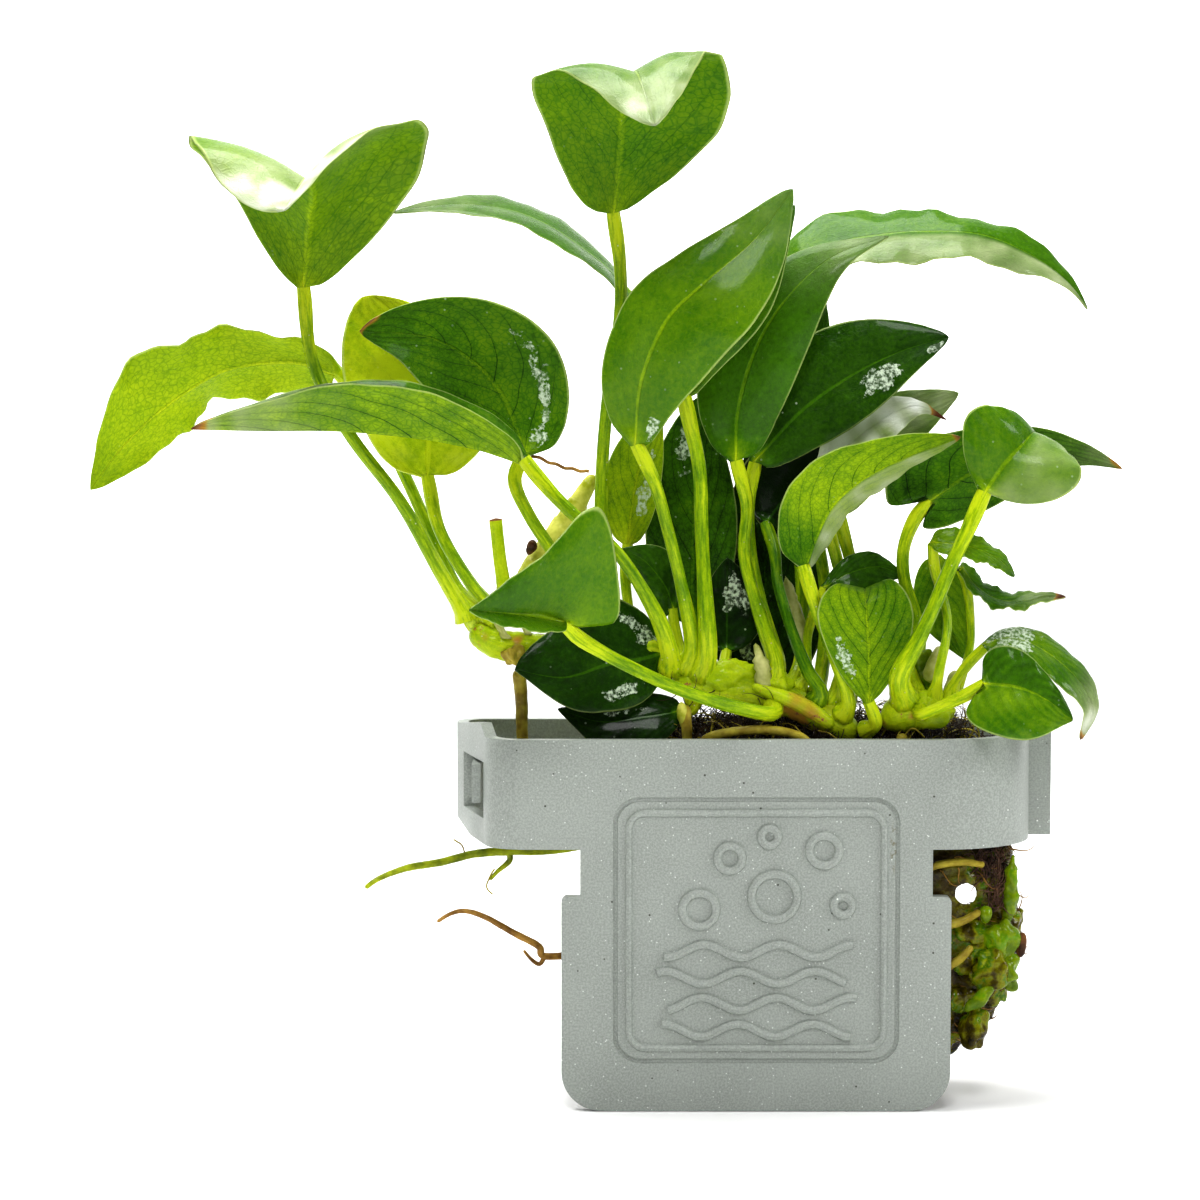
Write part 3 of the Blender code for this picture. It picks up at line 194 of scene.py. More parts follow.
LEAVES = (
    Leaf("leaf_high_left", "rhizome_left",
         ((-58.6, 99.6, 15.5), (-63.5, 108, 15), (-71.5, 122, 14), (-82, 136, 12), (-89, 150, 10.5),
          (-90.8, 164.8, 9)),
         ((-89.9, 174.5, 5), (-88.9, 183.6, -4), (-90.5, 186, -14), (-94.6, 180, -27)),
         ((-9, 4, 2), (-17.5, 11, 0), (-25, 10, -2), (-24.5, 4, -2), (-24, -6, 0)),
         ((10, 1, 3), (20, 8.5, 3), (23, 13, 3), (17.5, 14, 2), (10, 8, 1))),
    Leaf("leaf_high_centre", "rhizome_left",
         ((-31, 98, 18.6), (-31.2, 110, 19), (-31.2, 126, 19), (-30, 142, 18), (-27.6, 158, 16.5),
          (-27.5, 169, 15), (-28.9, 179.8, 13)),
         ((-27.7, 190, 8), (-26.7, 202.6, -2), (-24.4, 207.6, -12), (-20.4, 197, -28)),
         ((-10, -1, 2), (-13.5, 0.3, 1), (-18.5, 2.6, -3), (-13.5, -2, 0), (-12, -3, 0)),
         ((8, 1, 3), (19.5, 1.8, 3), (20.5, 4.6, 3), (16, 5.6, 1), (14, 6, 0))),
    Leaf("leaf_far_left", "rhizome_left",
         ((-55.6, 99.6, 21), (-60.5, 105, 26), (-66, 117, 30), (-70.5, 127, 31), (-77, 140, 31.4),
          (-84, 147.7, 30)),
         ((-91.5, 149.7, 29), (-99.5, 149.6, 28), (-106.5, 148.2, 26.6), (-112.5, 145, 25),
          (-120.5, 139.2, 23), (-127.5, 132.2, 21.6), (-133.5, 124.2, 20)),
         ((-2, -8, 4), (0, -6.8, 5), (1, -5.5, 6), (7, -6, 5), (8, -6, 3)),
         ((1, 5, -4), (-1, 6.6, -5), (-2.6, 9.6, -6), (-5.5, 15, -6), (-5, 8, -3)),
         material="leaf_pale"),
    Leaf("leaf_left_long", "rhizome_main",
         ((-17.8, 92.4, 8.6), (-20.6, 100, 6.6), (-28, 111.6, 4.4), (-38, 120.4, 4), (-43.6, 126.4, 4.4),
          (-46.7, 130.4, 5)),
         ((-55.5, 132.6, 4), (-67.5, 134.8, 2), (-83.5, 136.2, 0), (-99.5, 136.2, -3),
          (-113.4, 136.4, -5)),
         ((1, 9, 7), (0, 10.5, 9), (-1, 8, 7)), ((0, 8, -6), (0, 10, -8), (-1, 7, -5)),
         foot_radius=2.1, material="leaf_pale"),
    Leaf("leaf_left_oval", "rhizome_left",
         ((-33, 97.6, 14.6), (-36.5, 104, 14), (-41.1, 112, 13.4), (-45.6, 119, 13.6),
          (-48.6, 126, 14.6), (-46.6, 131.6, 15.4)),
         ((-50.5, 142, 15.4), (-56, 149, 15), (-65.5, 154.6, 15), (-79.6, 156, 15.6)),
         ((-7, -4, -1.6), (-9, -6, -2), (-3, -6, -1)), ((12, -1, -1), (13, 8, -2), (4, 14, 0))),
    Leaf("leaf_left_back", "rhizome_left",
         ((-52.4, 99.6, 18.8), (-57, 105, 20.6), (-63.5, 116, 23.4), (-66, 127, 25)),
         ((-66, 138.2, 26), (-68, 150.2, 27), (-72.5, 159.2, 26.6), (-77, 163.2, 26)),
         ((11, -1, 1), (14, 1, 1), (14, 3, 2), (10, 4, 1), (6, 4, 0)),
         ((-12, 0, 0), (-13.4, 0, -1), (-16.4, 0, -2), (-18, 0, -2.6), (-18, 3, -3)),
         material="leaf_pale"),
    Leaf("leaf_back_pale", "rhizome_main",
         ((-19.6, 92, 22), (-20.5, 110, 31), (-21, 132, 34.5), (-22, 150, 35), (-25.6, 162.6, 35)),
         ((-30, 168.2, 36), (-36, 173, 37), (-42, 177, 38), (-49.5, 180, 39), (-58, 181.2, 40),
          (-66, 180.8, 40.6), (-73, 179.6, 41)),
         ((0, 2.6, 7), (0, 2.9, 8), (0, 3, 6)), ((0, -2.4, -7), (0, -2.8, -8), (0, -2.4, -6)),
         material="leaf_pale"),
    Leaf("leaf_centre_glossy", "rhizome_main",
         ((-13, 93, 10.6), (-15, 104, 8.4), (-18.3, 117.6, 6), (-20.6, 125.6, 4),
          (-24.3, 133.6, 2)),
         ((-23.2, 146, -1), (-18.3, 158, -3), (-10.9, 165.4, -3.4), (-0.9, 174, -1), (7.1, 184.4, 4)),
         ((4.6, -2.4, 0), (11, -8, -2), (7, -5, -1)), ((-9, 3, 1), (-6.4, 5.6, 2), (-4, 7, 1)),
         foot_radius=1.9),
    Leaf("leaf_centre_second", "rhizome_main",
         ((-10, 92, 9.6), (-10.4, 102, 9), (-11.1, 114, 9), (-11.6, 128, 8.6), (-13.4, 137, 8),
          (-14.9, 143.6, 7)),
         ((-12.4, 152, 6), (-7.6, 160.6, 5.6), (-1, 170, 6), (4.6, 177.6, 7), (7.5, 181.2, 8)),
         ((3, -2, -1), (7.6, -4.6, -1.6), (5, -4, -1)), ((-5, 2, 1), (-7, 5, 2), (-5, 5, 1)),
         stalk_radius=1.4, foot_radius=2.3),
    Leaf("leaf_centre_right", "rhizome_main",
         ((3.6, 90, 11.4), (1.6, 96, 11.6), (-1, 104, 12), (-2.7, 112, 12.4), (-2.1, 121, 12),
          (-4.3, 130.2, 11.4)),
         ((-3.9, 140, 11), (-0.5, 152, 10.6), (5.5, 162, 10.6), (14.5, 170.4, 11.4), (26.3, 175, 13)),
         ((9, 1, 1), (8.6, -3, -1), (1, -3, -4)), ((-9, 2, 2), (-8, 5, 3), (-2, 3, 5)),
         foot_radius=2.2),
    Leaf("leaf_right_dark", "rhizome_main",
         ((4, 90, 17), (0.6, 102, 18), (-1.4, 112, 18), (-1.8, 122, 17.6), (-0.4, 129.8, 17)),
         ((8.5, 139.6, 16), (18.5, 146.8, 15), (28.5, 151.8, 14), (38.3, 154.8, 13)),
         ((5, -3, -2), (5.4, -7, -3), (4, -6, -2)), ((-4, 7, 2), (-4, 11, 2), (0, 9, 2))),
    Leaf("leaf_top_right", "rhizome_main",
         ((9, 92, 22), (8.6, 110, 28), (6.2, 134, 30), (4, 150, 29), (3.4, 164.4, 27)),
         ((9.5, 171.2, 26.6), (17.5, 173.8, 26), (24.5, 175, 25), (32.5, 175.7, 24), (44.5, 175.2, 22),
          (54.5, 171.2, 20.6), (61.5, 166.2, 19.4), (66.1, 160.2, 18)),
         ((1, -3, -4), (0, -5.2, -6), (0, -5.8, -7), (0, -6.5, -5), (2, -4, -4)),
         ((-3, 5, 5), (0, 6.2, 7), (0, 4, 6), (2, 4.4, 5), (2, 5, 4))),
    Leaf("leaf_small_back", "rhizome_main",
         ((12.6, 86.6, 19), (13.6, 104, 24.6), (9.6, 126, 24.8), (6.9, 138, 24.8)),
         ((9.5, 148, 24.4), (12, 157, 24), (13.3, 164.4, 23)),
         ((4, 0, 1), (4.4, -1, 1), (2, 0, 0)), ((-4, 1, 1), (-4.4, 1, 1), (-3, 0, 0))),
    Leaf("leaf_right_pale", "rhizome_main",
         ((18.6, 82.6, 17.6), (20, 102, 25), (15.8, 121, 25)),
         ((20, 130.6, 24), (28, 138, 23), (34.6, 141.4, 22), (40.3, 143.6, 21)),
         ((3, -4, -1), (4, -7, -1), (3, -5, 0)), ((-3, 4, 1), (-3, 6, 2), (0, 5, 1)),
         material="leaf_pale"),
    Leaf("leaf_right_withered", "rhizome_main",
         ((15.8, 84.6, 13.8), (18.4, 98, 20.6), (12.8, 122, 18.6)),
         ((16, 130.6, 18), (23, 137, 17.4), (31.3, 141, 17), (37.9, 138.2, 16.6)),
         ((2, -3, -1), (3, -4, -1), (1, -2, 0)), ((-2, 3, 1), (-3, 4, 1), (0, 2, 1)),
         foot_radius=1.3, material="leaf_withered"),
    Leaf("leaf_right_ribbon", "rhizome_main",
         ((18.2, 81.6, 7.4), (17.2, 86, 6.6), (14.5, 93, 6.6), (11.3, 102, 7), (9.1, 109.2, 7.6)),
         ((11.6, 114.6, 7.8), (14.9, 121, 7.6), (21, 126.4, 7), (30, 131, 6.4), (40.7, 134.8, 6)),
         ((-9, 2, -2), (-8, 5, -3), (-2, 6, -2)), ((2.2, -2.4, 5), (2.4, -3.4, 5), (2, -3, 3)),
         material="leaf_pale"),
    Leaf("leaf_right_oval", "rhizome_right",
         ((30.4, 90, 13.6), (31.7, 98, 15), (29.4, 106, 15.6), (29.2, 112.4, 16), (31.4, 118.4, 16.4),
          (34.5, 122.2, 16)),
         ((39.7, 125.6, 15.8), (44.5, 128.2, 15.8), (56.5, 132.4, 15.6), (64.5, 131, 15),
          (73.1, 128.4, 14)),
         ((-12, -4, 0), (-14.5, 3.7, 0), (-9, 6, -1), (0, 5.5, -1), (-1, 7, -1)),
         ((-5, -8, 0), (-2, -9.3, 1), (0, -8, 1), (1, -4, 1), (0, -2, 1)), widest=0.26),
    Leaf("leaf_right_bright", "rhizome_right",
         ((28.4, 87, 4), (31.5, 93, 3.2), (34.7, 99.6, 2.6), (38.5, 108.6, 2.4), (42.1, 116.2, 2.4),
          (45.4, 123.8, 3)),
         ((49, 129, 2.6), (52.5, 132.8, 3.6), (54.8, 135.4, 6.6), (55.6, 135.6, 11)),
         ((12, -5, -1), (13, -5, -2), (9, -5, 0)), ((-6, 7, 0), (-8, 9, -1), (-6, 6, -2)),
         stalk_radius=1.4, foot_radius=2.5, material="leaf_pale"),
    Leaf("leaf_right_curled", "rhizome_right",
         ((36.4, 88.4, 4.8), (38, 98, 9), (35.6, 108, 11), (35, 113.4, 10)),
         ((39.7, 113.2, 8.6), (44.5, 112, 7.6), (48.6, 109.9, 7), (51.4, 106.8, 7)),
         ((0, -2, -2), (0, -2.2, -3), (-2, -2, -2)), ((0, 4, 2), (0.6, 2.4, 3.4), (2, 2, 3)),
         stalk_radius=0.9, foot_radius=1.1, material="leaf_pale"),
    Leaf("leaf_right_twisted", "rhizome_right",
         ((40.6, 86, 14), (42.6, 94, 14.6), (42, 104, 13.6), (40.4, 108.6, 13)),
         ((43.7, 104.8, 11.6), (47.9, 102.2, 10), (53, 101.8, 9), (57.4, 102.6, 8.4),
          (61.7, 102.8, 8)),
         ((0, -2, -2), (0, -1.4, -3), (0, -1, -3)), ((1, 3, 2), (0, 2, 3), (0, 2.4, 2)),
         stalk_radius=0.8, foot_radius=1.0, material="leaf_pale"),
    Leaf("leaf_right_hanging", "rhizome_right",
         ((32.4, 87.4, 18.4), (33.4, 99, 22), (34.4, 109, 21.6), (36.4, 110.4, 19.4)),
         ((37, 104, 18.6), (38.4, 97, 18.4), (42.3, 89.8, 17.6)),
         ((4, 0, 1), (5, 2, 1), (3, 2, 0)), ((-5, 1, 1), (-5.5, -1, 1), (-2, -2, 0)),
         stalk_radius=0.9, foot_radius=1.1),
    Leaf("leaf_low_drooping", "rhizome_right",
         ((39.4, 85.4, 8), (42.1, 89.4, 7.4), (45.5, 92.8, 6.4)),
         ((50.5, 94.4, 5), (56.5, 92.4, 3.6), (63.4, 86.8, 2.4), (66.8, 80.6, 2.4), (64.6, 74.2, 3)),
         ((0, -2, -4), (-2, -3, -4), (-4, 0, -3)), ((0, 2.4, 4), (2.4, 2, 4), (3.4, 0, 3)),
         stalk_radius=0.9, foot_radius=1.2, material="leaf_pale"),
    Leaf("leaf_low_front", "rhizome_right",
         ((33, 79.4, 3), (37, 81, 2.2), (41.3, 83, 1.2), (45.5, 85.4, 0)),
         ((51.9, 84.8, -3), (57.5, 82.4, -4), (63.1, 78.2, -4)),
         ((-7, -7, -1), (-1, -10, -2), (1, -5, 0)), ((-2, 6, 2), (-1, 8, 2), (2, 5, 2)),
         widest=0.3, stalk_radius=1.1, foot_radius=1.2),
    Leaf("leaf_heart_underside", "rhizome_main",
         ((23.6, 77.6, 6.4), (22.2, 82, 5)),
         ((22.3, 90, 5.4), (21.9, 97.6, 5.6), (21.6, 103, 7.4), (21.5, 104.4, 12)),
         ((-8, 2, 0), (-10, 4, -1), (-9, 3, 0)), ((7, 2, 0), (9, 4, 0), (8, 5, 0)),
         widest=0.5, stalk_radius=1.1, foot_radius=1.2, material="leaf_pale"),
    Leaf("leaf_dark_right", "rhizome_main",
         ((9.8, 88, 15), (10.2, 96, 16.4), (13.5, 104.6, 16.4)),
         ((18.5, 107.6, 17), (24, 108.8, 18.8), (29.4, 107, 20)),
         ((0, -5, -2), (0, -5, -2), (0, -3, -1)), ((0, 3, 1), (0, 3.4, 1), (0, 3, 1)),
         stalk_radius=0.9, foot_radius=1.1),
    Leaf("leaf_front_left", "rhizome_main",
         ((2.6, 79.4, 5.6), (-7.3, 81.6, 0), (-15.3, 84.2, -4), (-21.7, 87, -8), (-29.3, 90.8, -12),
          (-35.7, 94.6, -14), (-38.7, 97.6, -15)),
         ((-44, 98.6, -20), (-51, 99.5, -27), (-57.7, 100.2, -34)),
         ((12, -1, 2), (11.7, 21.5, 2), (7.5, 15.5, 2), (4.4, 11, 1), (3, 7, 0)),
         ((2, -1, -5), (0, -2.5, -6), (-1, -4, -4)), widest=0.15),
    Leaf("leaf_dark_low_left", "rhizome_left",
         ((-21.4, 93, 14), (-18.4, 91.8, 14.4)),
         ((-23, 90.4, 12.6), (-30, 89.2, 10.4), (-38.7, 86.6, 8.6), (-48.6, 88.2, 7.6)),
         ((-2, 10, 2), (0, 14, 3), (0, 14, 3)), ((0, -10, -2), (0, -8.5, -2.6), (0, -3.5, -2)),
         stalk_radius=1.0, foot_radius=1.1),
    Leaf("leaf_dark_lowest", "rhizome_main",
         ((-13.4, 80.4, 13.4), (-15.4, 79.8, 13)),
         ((-22, 78.8, 12.2), (-31.5, 77.8, 11.6), (-40, 80.4, 11.4)),
         ((0, 4, 3), (0, 4.6, 3), (0, 3, 2)), ((0, -5, -2), (0, -7, -2), (0, -4, -2)),
         stalk_radius=1.0, foot_radius=1.1),
    Leaf("leaf_inner_bright", "rhizome_left",
         ((-25.4, 96, 21.6), (-26.4, 106, 24), (-26, 113.4, 24)),
         ((-25.2, 120, 24), (-24, 127, 24.4), (-22, 134, 25), (-19.6, 141, 25.6)),
         ((-4.6, 1, 0), (-6.6, 1, 0), (-8.6, 1, 0)), ((4, 0, 0), (5, 0, 0), (4, 0, 0)),
         stalk_radius=1.0, foot_radius=1.1, material="leaf_pale"),
    Leaf("leaf_inner_dark", "rhizome_main",
         ((-12.6, 90, 19.4), (-12.8, 94, 22), (-13, 97.4, 23)),
         ((-13, 106, 25.4), (-12.8, 119, 28.4), (-12.2, 132, 30), (-11.4, 143, 31)),
         ((-8.6, 1, 0), (-10, 1, 0), (-12, 1, 0)), ((8, 1, 0), (9, 1, 0), (7, 1, 0)),
         stalk_radius=1.0, foot_radius=1.1),
    Leaf("leaf_inner_small", "rhizome_main",
         ((-15.4, 91.6, 17), (-16.6, 97, 18), (-17, 100.6, 18)),
         ((-18.6, 105, 17.6), (-22.6, 110, 17.4), (-27.1, 112.4, 17)),
         ((3.4, 4, 1), (2.4, 4.6, 1), (0, 3, 0)), ((-2, -4, 0), (-1, -5, 0), (0, -3, 0)),
         stalk_radius=0.9, foot_radius=1.1),
    Leaf("leaf_inner_glossy", "rhizome_main",
         ((-6.6, 89.4, 18), (-6.2, 92, 20)),
         ((-6.2, 98, 20.6), (-6.2, 104, 21), (-6, 110.6, 21)),
         ((6, 0, 0), (8, 1, 0), (5, 1, 0)), ((-4, 0, 0), (-5, 1, 0), (-4, 1, 0)),
         stalk_radius=1.0, foot_radius=1.1),
    Leaf("leaf_black_behind", "rhizome_main",
         ((12.6, 84, 9.6), (10.1, 88, 10.4), (6.9, 96, 12), (4.2, 105, 14.6), (3.4, 112, 18.4),
          (1.6, 117.6, 21.4)),
         ((5.6, 122.6, 21.4), (10.6, 128.4, 21.2), (16.5, 134.6, 21.2)),
         ((5, -4, 0), (6, -6, 0), (3, -4, 0)), ((-8, 4, 1), (-9, 6, 1), (-4, 5, 1)),
         stalk_radius=1.1),
    Leaf("leaf_behind_centre", "rhizome_main",
         ((-1, 84.6, 18), (-0.2, 84.2, 23), (0.2, 83.4, 27.6)),
         ((0.6, 87.6, 29.4), (1.4, 99, 31.4), (1.2, 115, 33), (-1, 134, 34.4)),
         ((-11, 1, 0), (-11, 1, 0), (-7, 1, 0)), ((12, -1, 0), (12, 0, 0), (9, 0, 0)),
         stalk_radius=1.0, foot_radius=1.1),
)


@dataclass(frozen=True)
class LeafLook:
    """How one leaf looks: how bright each side is, from 0 for near black to 1 for yellow-green."""

    upper: float = 0.4
    under: float = 0.6
    stalk: float = 0.92
    wet: float = 0.0  # how thickly droplets fleck the blade, painted as white glints
    dry: float = 1.1  # where along the blade it starts to be brown
    wave: float = 0.25  # height of the waves in the margin, in millimetres
    waves: float = 3.0
    bow: float = 0.05  # how much each half arches
    pale: float = 0.0  # how much of the green is washed out
    veins: float = 0.8  # how clearly the side veins show
    tip_sheen: float = 0.0  # how whitish it gets towards the tip: painted sheen of light off the tip
    shade: float = 0.0  # how much darker it is at its base
    right: tuple = (0.0, 0.0)  # how much lighter and paler the right half is
    left: tuple = (0.0, 0.0)
    marks: tuple = ()  # patches of dried water marks and painted glints: place along, place across, half length and half breadth


LOOKS = {
    "leaf_high_left": LeafLook(0.66, 0.66, wave=0.9, waves=2.2, veins=0.35, bow=0.09, tip_sheen=0.7,
                               left=(-0.02, 0.06)),
    "leaf_high_centre": LeafLook(0.5, 0.57, wave=0.9, waves=2.4, veins=0.35, bow=0.09, tip_sheen=0.55),
    # leaf_far_left's bright yellow-green tones are painted light shining through it from behind
    "leaf_far_left": LeafLook(0.9, 0.88, wave=1.5, waves=3.4, veins=0.2),
    "leaf_left_long": LeafLook(0.4, 0.66, dry=0.99, wave=0.3, pale=0.1, veins=0.9, tip_sheen=0.34),
    "leaf_left_oval": LeafLook(0.42, 0.48, wet=0.3, veins=0.6, dry=0.985,
                               marks=((0.24, -0.6, 0.15, 0.1), (0.42, -0.74, 0.08, 0.06),
                                      (0.07, -0.5, 0.04, 0.2))),
    # leaf_left_back's brightest tones are painted light shining through it from behind
    "leaf_left_back": LeafLook(1.0, 0.97, wave=0.5, veins=0.9),
    "leaf_back_pale": LeafLook(0.42, 0.5, wave=0.3, pale=0.1, veins=0.15, tip_sheen=0.2),
    "leaf_centre_glossy": LeafLook(0.56, 0.5, wet=0.2, wave=0.4, veins=0.35, tip_sheen=0.2,
                                   marks=((0.07, 0.7, 0.05, 0.22),)),
    "leaf_centre_second": LeafLook(0.5, 0.5, wave=0.3, veins=0.35),
    "leaf_centre_right": LeafLook(0.42, 0.45, wet=0.1, veins=0.3, tip_sheen=0.3),
    "leaf_right_dark": LeafLook(0.3, 0.3, wet=0.6, veins=0.3,
                                marks=((0.66, 0.5, 0.1, 0.3), (0.93, 0.6, 0.04, 0.3))),
    "leaf_top_right": LeafLook(0.46, 0.54, wave=0.9, waves=3.6, pale=0.02, veins=0.25,
                               right=(-0.06, 0.4), left=(0.04, 0.02)),
    "leaf_small_back": LeafLook(0.42, 0.45),
    "leaf_right_pale": LeafLook(0.6, 0.5, pale=0.5),
    "leaf_right_withered": LeafLook(0.7, 0.7, dry=0.9, wave=0.9, waves=5, pale=0.95, veins=0.4),
    "leaf_right_ribbon": LeafLook(0.62, 0.72, dry=0.99, wave=0.4, shade=0.26, left=(0.0, 0.5), veins=0.7),
    "leaf_right_oval": LeafLook(0.34, 0.4, dry=0.985, veins=0.9, tip_sheen=0.3),
    "leaf_right_bright": LeafLook(0.52, 0.6, wet=0.2, wave=0.4, veins=0.35, right=(0.05, 0.3)),
    "leaf_right_curled": LeafLook(0.62, 0.72, wave=0.4, waves=4),
    "leaf_right_twisted": LeafLook(0.5, 0.62, dry=0.94, wave=0.6, waves=4, tip_sheen=0.4),
    "leaf_right_hanging": LeafLook(0.54, 0.6),
    "leaf_low_drooping": LeafLook(0.5, 0.56, dry=0.985, tip_sheen=0.6, marks=((0.16, 0.0, 0.13, 1.5),)),
    "leaf_low_front": LeafLook(0.44, 0.5, wet=0.1, wave=0.3, veins=1.1, right=(0.12, 0.0), left=(-0.1, 0.0)),
    "leaf_heart_underside": LeafLook(0.36, 0.62, veins=1.2, marks=((0.25, 0.6, 0.12, 0.2),)),
    "leaf_dark_right": LeafLook(0.28, 0.3),
    "leaf_front_left": LeafLook(0.52, 0.48, wave=0.3, veins=0.3, marks=((0.6, -0.3, 0.02, 0.05),)),
    "leaf_dark_low_left": LeafLook(0.22, 0.3, wet=0.4, veins=0.4,
                                   marks=((0.12, 0.5, 0.08, 0.2), (0.3, -0.62, 0.12, 0.14),
                                          (0.25, 0.7, 0.1, 0.1))),
    "leaf_dark_lowest": LeafLook(0.16, 0.2, wet=0.4, veins=0.5, marks=((0.45, 0.3, 0.2, 0.06),)),
    # leaf_inner_bright's high tones are painted light where it is strongly lit
    "leaf_inner_bright": LeafLook(0.6, 0.84, wet=0.2, marks=((0.4, -0.4, 0.22, 0.25),)),
    # The dark greens of leaf_inner_dark, leaf_inner_glossy, leaf_black_behind and leaf_behind_centre, and
    # leaf_black_behind's darker stalk, are deepened towards black as painted shade deep inside the plant
    "leaf_inner_dark": LeafLook(0.24, 0.36, wet=0.3, marks=((0.8, 0.3, 0.12, 0.3),)),
    "leaf_inner_small": LeafLook(0.32, 0.36),
    "leaf_inner_glossy": LeafLook(0.12, 0.2, wet=0.9, marks=((0.62, 0.2, 0.2, 0.4),)),
    "leaf_black_behind": LeafLook(0.0, 0.04, stalk=0.6, veins=0.1),
    "leaf_behind_centre": LeafLook(0.06, 0.12, wet=0.3, marks=((0.2, 0.4, 0.1, 0.2),)),
}

Point = np.ndarray
Socket = bpy.types.NodeSocket


class Side(Enum):
    """The material slot of each part of a leaf."""

    UPPER = 0
    UNDER = 1
    STALK = 2


def seen(x: float, z: float, depth: float) -> Point:
    """The world place of a point of the front view.

    Args:
        x: Millimetres across in the view.
        z: Millimetres up in the view.
        depth: Millimetres behind the tag's face.

    Returns:
        The place, in metres.
    """
    forward = Vector((0, math.cos(VIEW_RISE), -math.sin(VIEW_RISE)))
    up = Vector((0, math.sin(VIEW_RISE), math.cos(VIEW_RISE)))
    eye = AIM - VIEW_DISTANCE * forward
    ray = VIEW_DISTANCE * forward
    ray += Vector((1, 0, 0)) * (x - AIM_SEEN[0]) * MM + up * (z - AIM_SEEN[1]) * MM
    reach = (TAG_FACE_Y + depth * MM - eye.y) / ray.y
    return np.array(eye + reach * ray)


def smooth_line(points: list[Point], count: int) -> Point:
    """Runs a Catmull-Rom line through points.

    Args:
        points: The places it goes through.
        count: How many places to return.

    Returns:
        count evenly spaced places, one to a row.
    """
    points = np.asarray(points, float)
    padded = np.vstack((2 * points[0] - points[1], points, 2 * points[-1] - points[-2]))
    dense = []
    for before, start, end, after in zip(padded, padded[1:], padded[2:], padded[3:]):
        for t in np.linspace(0, 1, 16, endpoint=False):
            bend = 2 * before - 5 * start + 4 * end - after
            turn = 3 * start - before - 3 * end + after
            dense.append(0.5 * (2 * start + (end - before) * t + bend * t**2 + turn * t**3))
    dense.append(points[-1])
    dense = np.array(dense)
    run = np.concatenate(([0], np.cumsum(np.linalg.norm(np.diff(dense, axis=0), axis=1))))
    at = np.linspace(0, run[-1], count)
    return np.column_stack([np.interp(at, run, dense[:, axis]) for axis in range(3)])


def between(values: tuple, place: float) -> Point:
    """Reads a smooth line through evenly spaced values.

    Args:
        values: The values.
        place: Where to read, from 0 to 1.

    Returns:
        The value there.
    """
    values = np.asarray(values, float)
    if len(values) == 1:
        return values[0]
    spot = min(max(place, 0.0), 1.0) * (len(values) - 1)
    first = min(int(spot), len(values) - 2)
    t = spot - first
    start, end = values[first], values[first + 1]
    before = values[first - 1] if first else 2 * start - end
    after = values[first + 2] if first + 2 < len(values) else 2 * end - start
    bend = 2 * before - 5 * start + 4 * end - after
    turn = 3 * start - before - 3 * end + after
    return 0.5 * (2 * start + (end - before) * t + bend * t**2 + turn * t**3)


def unit(vector: Point) -> Point:
    """The vector at length one."""
    return vector / np.linalg.norm(vector)


def ease(low: float, high: float, value: float) -> float:
    """Rises smoothly from 0 at low to 1 at high."""
    share = min(max((value - low) / (high - low), 0.0), 1.0)
    return share * share * (3 - 2 * share)


def object_from(mesh: bpy.types.Mesh, name: str) -> bpy.types.Object:
    """Puts a mesh into the scene under a name."""
    thing = bpy.data.objects.new(name, mesh)
    bpy.context.scene.collection.objects.link(thing)
    return thing


def mesh_from(points: Point, faces: list, name: str) -> bpy.types.Mesh:
    """A smooth-shaded mesh from points and faces."""
    mesh = bpy.data.meshes.new(name)
    mesh.from_pydata([tuple(p) for p in points], [], faces)
    mesh.shade_smooth()
    return mesh


def finished(thing: bpy.types.Object) -> bpy.types.Object:
    """Applies what an object's modifiers make.

    Args:
        thing: An object with modifiers, at the origin.

    Returns:
        The same object with a plain mesh and no modifiers.
    """
    bpy.context.view_layer.update()
    graph = bpy.context.evaluated_depsgraph_get()
    mesh = bpy.data.meshes.new_from_object(thing.evaluated_get(graph), depsgraph=graph)
    if thing.type == "MESH":
        thing.modifiers.clear()
        thing.data = mesh
        return thing
    name = thing.name
    bpy.data.objects.remove(thing)
    return object_from(mesh, name)


def place_piece(thing: bpy.types.Object, slot: str, *nodes: str) -> None:
    """Hands a finished piece to the frame.

    Args:
        thing: The piece.
        slot: Not used.
        nodes: The solids that it stands for.
    """
    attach(thing, "root")
    if nodes:
        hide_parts(*nodes)
    thing.data.calc_loop_triangles()
    LOG.info("%s: %d triangles", thing.name, len(thing.data.loop_triangles))


